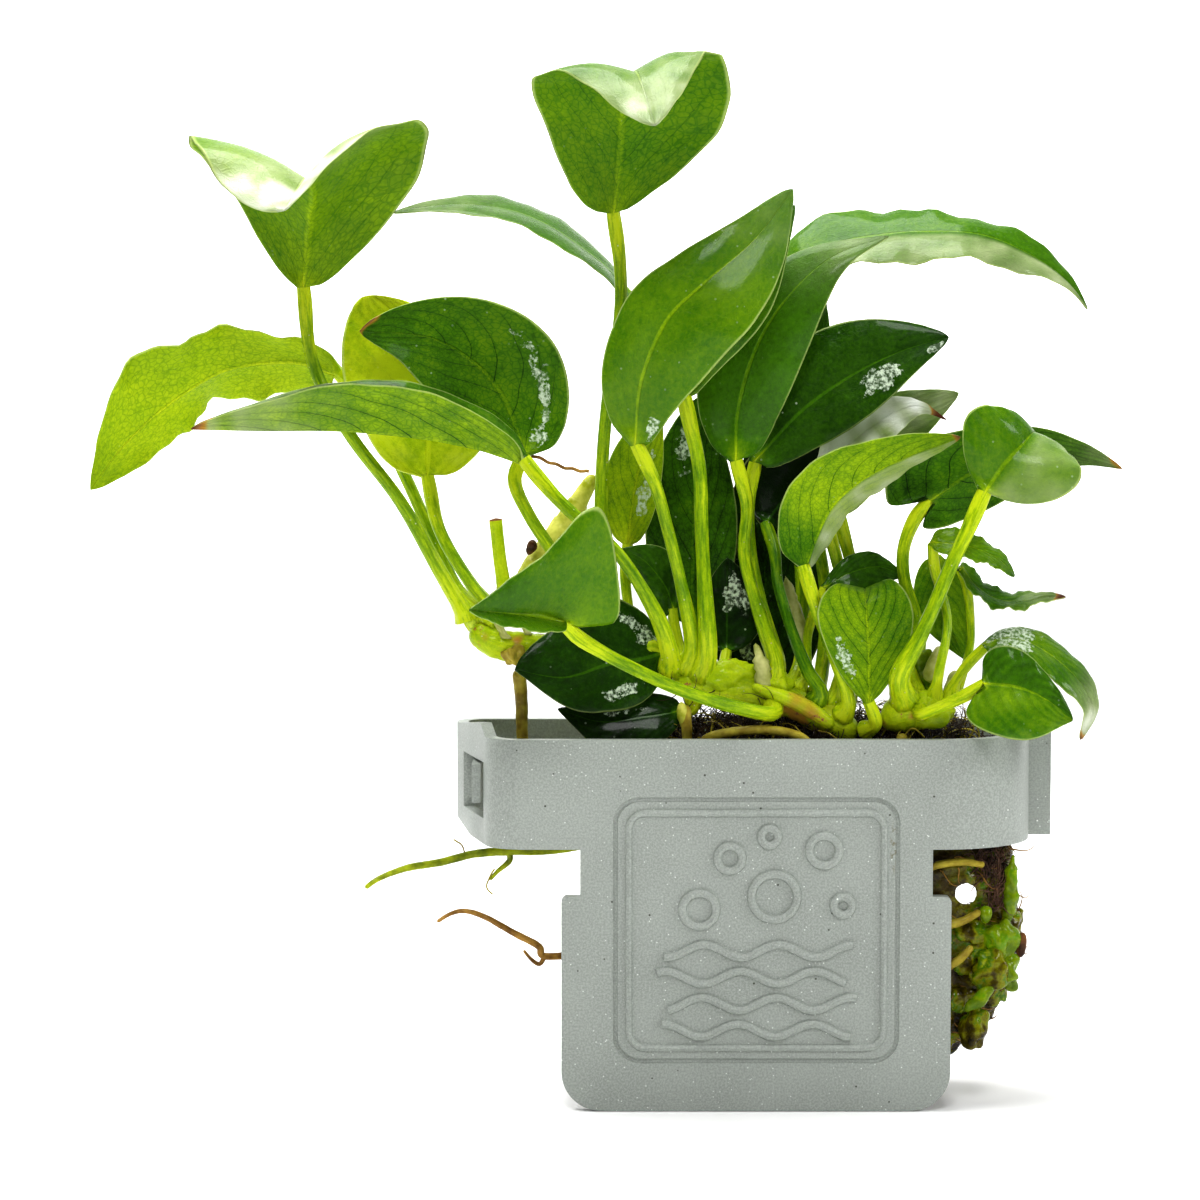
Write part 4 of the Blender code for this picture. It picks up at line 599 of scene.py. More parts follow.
class Wiring:
    """Adds nodes to a tree and links them."""

    def __init__(self, tree: bpy.types.NodeTree) -> None:
        """Starts on an existing tree."""
        self.tree = tree
        self.count = 0

    def node(self, kind: str, inputs: dict | None = None, **settings: object) -> bpy.types.Node:
        """Adds a node.

        Args:
            kind: Its type's name.
            inputs: Its inputs by name or number, each a value or a socket to link.
            settings: Its own properties.

        Returns:
            The node.
        """
        made = self.tree.nodes.new(kind)
        made.location = (200 * (self.count % 10), -240 * (self.count // 10))
        self.count += 1
        for key, value in settings.items():
            setattr(made, key, value)
        for key, value in (inputs or {}).items():
            self.put(made.inputs[key], value)
        return made

    def put(self, target: Socket, value: object) -> None:
        """Gives an input a value, or links a socket to it."""
        if isinstance(value, bpy.types.NodeSocket):
            self.tree.links.new(value, target)
        else:
            target.default_value = value

    def math(self, operation: str, a: object, b: object = 0.0, clamp: bool = False) -> Socket:
        """A sum of two values."""
        made = self.node("ShaderNodeMath", {0: a, 1: b}, operation=operation, use_clamp=clamp)
        return made.outputs[0]

    def span(self, value: object, low: float, high: float, to_low: float = 0.0,
             to_high: float = 1.0) -> Socket:
        """Maps low to high onto another span, smoothly, and holds it there."""
        inputs = {"Value": value, "From Min": low, "From Max": high, "To Min": to_low,
                  "To Max": to_high}
        made = self.node("ShaderNodeMapRange", inputs, interpolation_type="SMOOTHSTEP")
        return made.outputs[0]

    def mix(self, share: object, first: object, second: object, how: str = "MIX") -> Socket:
        """Mixes two colours."""
        made = self.node("ShaderNodeMix", {0: share, 6: first, 7: second}, data_type="RGBA",
                         blend_type=how)
        return made.outputs[2]

    def ramp(self, share: object, stops: tuple) -> Socket:
        """A colour ramp over (place, colour) stops."""
        made = self.node("ShaderNodeValToRGB", {0: share})
        elements = made.color_ramp.elements
        while len(elements) < len(stops):
            elements.new(0.5)
        for element, (at, colour) in zip(elements, stops):
            element.position = at
            element.color = (*colour, 1)
        return made.outputs[0]

    def noise(self, place: Socket, scale: float, detail: float = 2.0, rough: float = 0.5) -> Socket:
        """Cloudy noise, as a value."""
        inputs = {"Vector": place, "Scale": scale, "Detail": detail, "Roughness": rough}
        return self.node("ShaderNodeTexNoise", inputs).outputs["Fac"]

    def cells(self, place: Socket, scale: float, feature: str = "F1") -> bpy.types.Node:
        """A Voronoi texture."""
        return self.node("ShaderNodeTexVoronoi", {"Vector": place, "Scale": scale}, feature=feature)

    def value_of(self, attribute: str) -> Socket:
        """A number that the mesh carries."""
        return self.node("ShaderNodeAttribute", attribute_name=attribute).outputs["Fac"]

    def place_of(self, attribute: str) -> Socket:
        """A place that the mesh carries."""
        return self.node("ShaderNodeAttribute", attribute_name=attribute).outputs["Vector"]

    def bump(self, height: Socket, depth: float, strength: float = 1.0,
             normal: Socket | None = None) -> Socket:
        """Turns a height into a normal, depth metres deep."""
        inputs = {"Strength": strength, "Distance": depth, "Height": height}
        if normal is not None:
            inputs["Normal"] = normal
        return self.node("ShaderNodeBump", inputs).outputs[0]


def new_finish(name: str, constants: dict) -> tuple[bpy.types.Material, Wiring, bpy.types.Node]:
    """Starts a material.

    Args:
        name: Its name.
        constants: Values for the shader's own sockets.

    Returns:
        The material, its wiring and its Principled shader.
    """
    material = bpy.data.materials.new(name)
    material.use_nodes = True
    wires = Wiring(material.node_tree)
    shader = material.node_tree.nodes["Principled BSDF"]
    for key, value in constants.items():
        shader.inputs[key].default_value = value
    return material, wires, shader


def group_node(wires: Wiring, tree: bpy.types.NodeTree, inputs: dict) -> bpy.types.Node:
    """Uses a shared group in a tree."""
    made = wires.node("ShaderNodeGroup")
    made.node_tree = tree
    for key, value in inputs.items():
        wires.put(made.inputs[key], value)
    return made


@dataclass(frozen=True)
class GreenRange:
    """The colours that the living parts share, from near black to yellow-green."""

    stops: tuple = (
        (0.0, (0.003, 0.012, 0.001)),
        (0.2, (0.012, 0.05, 0.001)),
        (0.45, (0.052, 0.16, 0.002)),
        (0.65, (0.14, 0.27, 0.003)),
        (0.85, (0.3, 0.44, 0.004)),
        (1.0, (0.5, 0.6, 0.01)),
    )

    def make(self) -> bpy.types.NodeTree:
        """A shader group from a tone to a green."""
        tree = bpy.data.node_groups.new("living_green", "ShaderNodeTree")
        tree.interface.new_socket("Tone", in_out="INPUT", socket_type="NodeSocketFloat")
        tree.interface.new_socket("Pale", in_out="INPUT", socket_type="NodeSocketFloat")
        tree.interface.new_socket("Dry", in_out="INPUT", socket_type="NodeSocketFloat")
        tree.interface.new_socket("Colour", in_out="OUTPUT", socket_type="NodeSocketColor")
        wires = Wiring(tree)
        given = wires.node("NodeGroupInput")
        green = wires.ramp(given.outputs["Tone"], self.stops)
        wash = wires.ramp(given.outputs["Pale"], ((0.0, (0.3, 0.37, 0.13)), (0.5, (0.4, 0.46, 0.24)),
                                                  (1.0, (0.84, 0.87, 0.8))))
        washed = wires.mix(wires.span(given.outputs["Pale"], 0.0, 0.8), green, wash)
        brown = wires.ramp(given.outputs["Dry"], ((0.0, (0.4, 0.3, 0.03)), (0.3, (0.42, 0.22, 0.03)),
                                                  (0.5, (0.3, 0.15, 0.05)),
                                                  (1.0, (0.12, 0.035, 0.015))))
        share = wires.span(given.outputs["Dry"], 0.0, 0.35)
        result = wires.mix(share, washed, brown)
        wires.node("NodeGroupOutput", {"Colour": result})
        return tree


@dataclass(frozen=True)
class VeinPattern:
    """Midrib, side veins and the fine net between them, over a blade's own map."""

    count: float = 6.5
    slant: float = 0.52
    breadth: float = 0.028
    net_along: float = 46.0
    net_across: float = 26.0

    def make(self) -> bpy.types.NodeTree:
        """A shader group that gives the veins, the midrib, the net and how near the margin is."""
        tree = bpy.data.node_groups.new("leaf_veins", "ShaderNodeTree")
        for name in ("Veins", "Midrib", "Net", "Pillow", "Across", "Along"):
            tree.interface.new_socket(name, in_out="OUTPUT", socket_type="NodeSocketFloat")
        wires = Wiring(tree)
        place = wires.node("ShaderNodeUVMap", uv_map="blade").outputs[0]
        parts = wires.node("ShaderNodeSeparateXYZ", {0: place})
        along, span = parts.outputs[0], parts.outputs[1]
        signed = wires.math("SUBTRACT", wires.math("MULTIPLY", span, 2.0), 1.0)
        across = wires.math("ABSOLUTE", signed)
        drift = wires.math("MULTIPLY", wires.noise(place, 3.0, 1.0), 0.8)
        step = wires.math("MULTIPLY", wires.math("GREATER_THAN", signed, 0.0), 0.37)
        lean = wires.math("MULTIPLY", wires.math("POWER", across, 1.25), self.slant)
        running = wires.math("MULTIPLY", wires.math("SUBTRACT", along, lean), self.count)
        running = wires.math("ADD", wires.math("ADD", running, drift), step)
        off = wires.math("ABSOLUTE", wires.math("SUBTRACT", wires.math("FRACT", running), 0.5))
        line = wires.span(off, 0.0, self.breadth, 1.0, 0.0)
        fade = wires.span(across, 0.68, 0.97, 1.0, 0.1)
        pillow = wires.span(off, 0.0, 0.5)
        wide = wires.math("MULTIPLY", wires.math("SUBTRACT", 1.25, along), 0.055)
        rib = wires.span(wires.math("DIVIDE", across, wide), 0.4, 1.0, 1.0, 0.0)
        stretch = wires.node("ShaderNodeMapping",
                             {"Vector": place, "Scale": (self.net_along, self.net_across, 1.0)})
        cells = wires.cells(stretch.outputs[0], 1.0, "DISTANCE_TO_EDGE")
        net = wires.span(cells.outputs["Distance"], 0.02, 0.12, 1.0, 0.0)
        wires.node("NodeGroupOutput", {"Veins": wires.math("MULTIPLY", line, fade), "Midrib": rib, "Net": net,
                                       "Pillow": pillow, "Across": across, "Along": along})
        return tree


@dataclass(frozen=True)
class BladeFinish:
    """One side of a leaf's blade."""

    name: str
    tone: str  # the attribute that holds its tone
    vein_shift: float  # how much lighter or darker the veins are
    rib_shift: float
    net_shift: float
    gloss: float
    coat: float
    shine: float
    relief: float

    def make(self, greens: bpy.types.NodeTree, veins: bpy.types.NodeTree) -> bpy.types.Material:
        """Builds the material.

        Args:
            greens: The shared group from tone to colour.
            veins: The shared group of veins.

        Returns:
            The material.
        """
        material, wires, shader = new_finish(self.name, {"Coat Weight": self.coat,
                                                         "Coat Roughness": 0.1,
                                                         "Specular IOR Level": self.shine})
        place = wires.node("ShaderNodeTexCoord").outputs["Object"]
        lines = group_node(wires, veins, {}).outputs
        cloud = wires.noise(place, 95.0, 4.0, 0.65)
        fine = wires.noise(place, 1300.0, 2.0, 0.6)
        clear = wires.math("MULTIPLY", lines["Veins"], wires.value_of("veins"))
        tone = wires.value_of(self.tone)
        bulge = wires.math("MULTIPLY", lines["Pillow"], wires.value_of("veins"))
        mottle = wires.math("MULTIPLY", wires.math("SUBTRACT", cloud, 0.5),
                            wires.span(wires.value_of("veins"), 0.0, 1.0, 0.3, 1.0))
        # The shift from bulge lightens the blade between the side veins: painted sheen on the bulges
        for value, middle, share in ((mottle, 0.0, 0.75), (fine, 0.5, 0.24), (bulge, 0.3, 0.06),
                                     (clear, 0.0, self.vein_shift), (lines["Midrib"], 0.0, self.rib_shift),
                                     (lines["Net"], 0.3, self.net_shift)):
            shift = wires.math("MULTIPLY", wires.math("SUBTRACT", value, middle), share)
            tone = wires.math("ADD", tone, shift)
        tone = wires.math("ADD", tone, 0.0, True)
        colour = group_node(wires, greens, {"Tone": tone, "Pale": wires.value_of("pale"),
                                            "Dry": wires.value_of("dry")}).outputs[0]
        margin = wires.span(lines["Across"], 0.955, 0.985, 0.0, 0.6)
        margin = wires.math("MULTIPLY", margin, wires.span(tone, 0.0, 0.6, 0.35, 1.0))
        colour = wires.mix(margin, colour, (0.5, 0.6, 0.2, 1))
        # The whitish film is partly dried water marks and partly painted glints and reflections off wet spots
        glint_and_water_film = self.water(wires, place)
        wires.put(shader.inputs["Base Color"], wires.mix(glint_and_water_film, colour, (0.66, 0.76, 0.6, 1)))
        rough = wires.span(cloud, 0.35, 0.65, self.gloss, self.gloss + 0.16)
        rough = wires.math("SUBTRACT", rough, wires.math("MULTIPLY", glint_and_water_film, 0.25))
        rough = wires.math("ADD", rough, wires.math("MULTIPLY", wires.value_of("dry"), 0.4), True)
        wires.put(shader.inputs["Roughness"], rough)
        height = wires.math("MULTIPLY", cloud, 1.5)
        for value, share in ((clear, self.relief), (lines["Midrib"], 1.6 * self.relief),
                             (bulge, 0.35), (fine, 0.3), (lines["Net"], -0.14), (glint_and_water_film, 0.6)):
            height = wires.math("ADD", height, wires.math("MULTIPLY", value, share))
        wires.put(shader.inputs["Normal"], wires.bump(height, 0.3 * MM, 0.85))
        return material

    @staticmethod
    def water(wires: Wiring, place: Socket) -> Socket:
        """Where dried water marks, droplets and painted glints whiten the blade.

        Args:
            wires: The material's wiring.
            place: The place on the blade.

        Returns:
            How white it is there, from 0 to 1.
        """
        wet = wires.value_of("wet")
        ragged = wires.math("SUBTRACT", wires.noise(place, 420.0, 5.0, 0.65), 0.5)
        ragged = wires.math("MULTIPLY", ragged, 2.6)
        near = wires.math("ADD", wires.value_of("glint_and_water_mark"), ragged)
        glinting_puddle = wires.span(wires.value_of("glint_and_water_mark"), 0.05, 0.4)
        glinting_puddle = wires.math("MULTIPLY", wires.span(near, 0.52, 0.6), glinting_puddle)
        flecks = wires.span(wires.noise(place, 1300.0, 3.0, 0.6), 0.4, 0.62, 0.08, 0.95)
        glinting_puddle = wires.math("MULTIPLY", glinting_puddle, flecks)
        # Droplets are painted as white specks: painted glints
        drops = wires.cells(place, 700.0)
        small = wires.span(drops.outputs["Distance"], 0.12, 0.2, 1.0, 0.0)
        chosen = wires.node("ShaderNodeSeparateColor", {0: drops.outputs["Color"]})
        small = wires.math("MULTIPLY", small, wires.math("GREATER_THAN", chosen.outputs[0], 0.86))
        near = wires.span(wires.noise(place, 60.0, 2.0), 0.4, 0.6, 0.0, 0.8)
        small = wires.math("MULTIPLY", small, wires.math("MULTIPLY", near, wires.math("ADD", wet, 0.1)))
        return wires.math("MAXIMUM", glinting_puddle, small, True)


@dataclass(frozen=True)
class StemFinish:
    """A stalk, stem or root: fleshy, ribbed lengthwise, wet in places, flecked with painted glints."""

    name: str
    base_tone: float | None = None  # its tone, where the mesh doesn't carry one
    corky: float = 0.0
    gloss: float = 0.24
    streaks: float = 0.95

    def make(self, greens: bpy.types.NodeTree) -> bpy.types.Material:
        """Builds the material on the shared greens."""
        material, wires, shader = new_finish(self.name, {"Coat Weight": 0.1, "Coat Roughness": 0.06,
                                                         "Specular IOR Level": 0.08})
        place = wires.node("ShaderNodeTexCoord").outputs["Object"]
        cloud = wires.noise(place, 170.0, 4.0, 0.6)
        grain = wires.noise(wires.place_of("straight"), 1500.0, 3.0, 0.65)
        dots = wires.noise(place, 2600.0, 1.0)
        tone: object = wires.value_of("tone_stalk") if self.base_tone is None else self.base_tone
        for value, share in ((cloud, 0.34), (grain, self.streaks), (dots, 0.18)):
            tone = wires.math("ADD", wires.math("MULTIPLY", wires.math("SUBTRACT", value, 0.5), share), tone)
        tone = wires.math("ADD", tone, 0.0, True)
        dry = wires.value_of("dry")
        if self.corky:
            spots = wires.span(wires.noise(place, 330.0, 5.0, 0.7), 0.6, 0.74, 0.0, self.corky)
            dry = wires.math("ADD", dry, spots, True)
        colour = group_node(wires, greens, {"Tone": tone, "Pale": 0.0, "Dry": dry}).outputs[0]
        # Sparse pale specks mixed into the colour are painted glints
        shine = wires.cells(place, 900.0)
        glint_specks = wires.span(shine.outputs["Distance"], 0.08, 0.2, 1.0, 0.0)
        chosen = wires.node("ShaderNodeSeparateColor", {0: shine.outputs["Color"]})
        glint_specks = wires.math("MULTIPLY", glint_specks, wires.math("GREATER_THAN", chosen.outputs[0], 0.9))
        wires.put(shader.inputs["Base Color"],
                  wires.mix(wires.math("MULTIPLY", glint_specks, 0.6), colour, (0.8, 0.84, 0.5, 1)))
        rough = wires.span(cloud, 0.3, 0.75, self.gloss, self.gloss + 0.22)
        wires.put(shader.inputs["Roughness"], rough)
        height = wires.math("ADD", wires.math("MULTIPLY", grain, 1.3), wires.math("MULTIPLY", cloud, 1.1))
        height = wires.math("ADD", height, wires.math("MULTIPLY", glint_specks, 0.8))
        wires.put(shader.inputs["Normal"], wires.bump(height, 0.2 * MM, 0.9))
        return material


@dataclass(frozen=True)
class PlasticFinish:
    """Grey moulded plastic with a matte skin and tiny pale and dark specks."""

    name: str = "moulded_grey_plastic"

    def make(self) -> bpy.types.Material:
        """Builds the material."""
        material, wires, shader = new_finish(self.name, {"Specular IOR Level": 0.45})
        place = wires.node("ShaderNodeTexCoord").outputs["Object"]
        cloud = wires.noise(place, 45.0, 4.0, 0.6)
        colour = wires.ramp(cloud, ((0.25, (0.25, 0.272, 0.246)), (0.75, (0.3, 0.325, 0.296))))
        grit = wires.noise(place, 2400.0, 2.0, 0.7)
        colour = wires.mix(wires.span(grit, 0.35, 0.7, 0.0, 0.34), colour, (0.55, 0.585, 0.55, 1))
        for scale, size, keep, tint in ((430.0, 0.1, 0.94, (0.85, 0.88, 0.84, 1)),
                                        (900.0, 0.16, 0.86, (0.66, 0.7, 0.66, 1)),
                                        (300.0, 0.085, 0.93, (0.06, 0.065, 0.05, 1)),
                                        (170.0, 0.06, 0.9, (0.1, 0.09, 0.05, 1))):
            dots = wires.cells(place, scale)
            dot = wires.span(dots.outputs["Distance"], size * 0.5, size, 1.0, 0.0)
            chosen = wires.node("ShaderNodeSeparateColor", {0: dots.outputs["Color"]})
            dot = wires.math("MULTIPLY", dot, wires.math("GREATER_THAN", chosen.outputs[1], keep))
            colour = wires.mix(dot, colour, tint)
        spot = wires.node("ShaderNodeVectorMath", {0: place, 1: (27.6 * MM, TAG_FACE_Y, 54.0 * MM)},
                          operation="SUBTRACT")
        size = (1 / (0.9 * MM), 1 / (2 * MM), 1 / (7 * MM))
        reach = wires.node("ShaderNodeVectorMath", {0: spot.outputs[0], 1: size}, operation="MULTIPLY")
        far = wires.node("ShaderNodeVectorMath", {0: reach.outputs[0]}, operation="LENGTH").outputs["Value"]
        stain = wires.math("MULTIPLY", wires.span(far, 0.35, 1.0, 1.0, 0.0),
                           wires.span(wires.noise(place, 700.0, 3.0, 0.7), 0.5, 0.6))
        colour = wires.mix(wires.math("MULTIPLY", stain, 0.75), colour, (0.14, 0.12, 0.05, 1))
        wires.put(shader.inputs["Base Color"], colour)
        grain = wires.noise(place, 2600.0, 4.0, 0.7)
        wires.put(shader.inputs["Roughness"], wires.span(wires.noise(place, 70.0, 3.0), 0.3, 0.7, 0.42, 0.54))
        height = wires.math("ADD", grain, wires.math("MULTIPLY", wires.noise(place, 320.0, 3.0), 1.4))
        wires.put(shader.inputs["Normal"], wires.bump(height, 0.06 * MM, 0.7))
        return material


@dataclass(frozen=True)
class StoneFinish:
    """Dark brown stone with black pits, rusty bits and a wet sheen, greener where algae has grown."""

    name: str = "dark_pitted_stone"

    def make(self) -> bpy.types.Material:
        """Builds the material."""
        material, wires, shader = new_finish(self.name, {"Coat Weight": 0.2, "Coat Roughness": 0.07,
                                                         "Specular IOR Level": 0.15})
        place = wires.node("ShaderNodeTexCoord").outputs["Object"]
        cloud = wires.noise(place, 130.0, 5.0, 0.7)
        fibres = wires.node("ShaderNodeMapping", {"Vector": place, "Scale": (0.3, 1.0, 1.0)}).outputs[0]
        strands = wires.noise(fibres, 900.0, 3.0, 0.65)
        colour = wires.ramp(cloud, ((0.3, (0.005, 0.003, 0.002)), (0.5, (0.022, 0.013, 0.007)),
                                    (0.62, (0.06, 0.03, 0.012)), (0.78, (0.16, 0.085, 0.02))))
        colour = wires.mix(wires.span(strands, 0.52, 0.68, 0.0, 0.6), colour, (0.1, 0.06, 0.02, 1))
        slime = wires.ramp(wires.noise(place, 210.0, 4.0, 0.62),
                           ((0.3, (0.012, 0.008, 0.001)), (0.43, (0.05, 0.035, 0.001)),
                            (0.52, (0.14, 0.13, 0.002)), (0.6, (0.045, 0.12, 0.002)),
                            (0.7, (0.34, 0.36, 0.008))))
        grown = wires.math("MULTIPLY", wires.value_of("growth"), wires.span(cloud, 0.33, 0.45))
        colour = wires.mix(grown, colour, slime)
        wires.put(shader.inputs["Base Color"], colour)
        rough = wires.span(cloud, 0.35, 0.7, 0.3, 0.75)
        wires.put(shader.inputs["Roughness"],
                  wires.math("SUBTRACT", rough, wires.math("MULTIPLY", grown, 0.28), True))
        height = wires.math("ADD", wires.math("MULTIPLY", cloud, 2.0), strands)
        wires.put(shader.inputs["Normal"], wires.bump(height, 0.5 * MM, 1.0))
        return material


@dataclass(frozen=True)
class AlgaeFinish:
    """Slimy olive to bright green growth."""

    name: str
    bright: float  # how much brighter and greener than olive

    def make(self) -> bpy.types.Material:
        """Builds the material."""
        material, wires, shader = new_finish(self.name, {"Coat Weight": 0.2, "Coat Roughness": 0.05,
                                                         "Specular IOR Level": 0.1})
        place = wires.node("ShaderNodeTexCoord").outputs["Object"]
        cloud = wires.noise(place, 240.0, 4.0, 0.62)
        fine = wires.noise(place, 1100.0, 2.0, 0.6)
        colour = wires.ramp(cloud, ((0.3, (0.012, 0.008, 0.001)), (0.42, (0.07, 0.055, 0.001)),
                                    (0.52, (0.2, 0.21, 0.002)), (0.6, (0.06, 0.16, 0.002)),
                                    (0.72, (0.46, 0.47, 0.01))))
        wires.put(shader.inputs["Base Color"], wires.mix(self.bright, colour, (0.17, 0.36, 0.003, 1)))
        wires.put(shader.inputs["Roughness"], wires.span(fine, 0.3, 0.7, 0.14, 0.34))
        height = wires.math("ADD", wires.math("MULTIPLY", cloud, 1.5), wires.math("MULTIPLY", fine, 0.5))
        wires.put(shader.inputs["Normal"], wires.bump(height, 0.3 * MM, 0.8))
        return material


@dataclass(frozen=True)
class FibreFinish:
    """Thin roots and fibres, yellow-brown to dark."""

    name: str
    dark: tuple
    light: tuple

    def make(self) -> bpy.types.Material:
        """Builds the material."""
        material, wires, shader = new_finish(self.name, {"Coat Weight": 0.12, "Coat Roughness": 0.08,
                                                         "Specular IOR Level": 0.12})
        place = wires.node("ShaderNodeTexCoord").outputs["Object"]
        cloud = wires.noise(place, 260.0, 3.0, 0.6)
        wires.put(shader.inputs["Base Color"], wires.ramp(cloud, ((0.35, self.dark), (0.65, self.light))))
        wires.put(shader.inputs["Roughness"], wires.span(cloud, 0.3, 0.7, 0.35, 0.6))
        wires.put(shader.inputs["Normal"], wires.bump(wires.noise(place, 1600.0, 2.0), 0.08 * MM, 0.8))
        return material


class Finishes:
    """Every finish of the model, built once."""

    def __init__(self) -> None:
        """Builds the shared groups and the materials."""
        greens = GreenRange().make()
        veins = VeinPattern().make()
        self.upper = BladeFinish("blade_upper_side", "tone_upper", 0.08, 0.17, 0.03, 0.18, 0.16, 0.06,
                                 0.4).make(greens, veins)
        self.under = BladeFinish("blade_under_side", "tone_under", -0.42, 0.1, -0.1, 0.4, 0.04, 0.06,
                                 0.7).make(greens, veins)
        self.stalk = StemFinish("leaf_stalk").make(greens)
        self.rhizome = StemFinish("creeping_stem", 0.92, 1.0, 0.2, 0.25).make(greens)
        self.plastic = PlasticFinish().make()
        self.stone = StoneFinish().make()
        self.algae = AlgaeFinish("algae_olive", 0.0).make()
        self.algae_bright = AlgaeFinish("algae_bright", 0.4).make()
        self.root_yellow = FibreFinish("root_yellow_brown", (0.2, 0.14, 0.012), (0.5, 0.42, 0.05)).make()
        self.root_green = FibreFinish("root_yellow_green", (0.12, 0.16, 0.004), (0.4, 0.46, 0.012)).make()
        self.root_brown = FibreFinish("root_brown", (0.11, 0.045, 0.008), (0.42, 0.24, 0.05)).make()
        self.dark_fibre = FibreFinish("dark_fibres", (0.008, 0.005, 0.003), (0.06, 0.035, 0.014)).make()
        self.purple_fibre = FibreFinish("brown_fibres", (0.03, 0.015, 0.012), (0.16, 0.085, 0.05)).make()
        self.shoot = FibreFinish("thick_shoot", (0.3, 0.33, 0.012), (0.68, 0.66, 0.14)).make()
        self.dry_sheath = FibreFinish("dry_sheath", (0.26, 0.28, 0.05), (0.56, 0.56, 0.24)).make()
        self.bark = FibreFinish("brown_bud", (0.03, 0.012, 0.005), (0.24, 0.1, 0.03)).make()


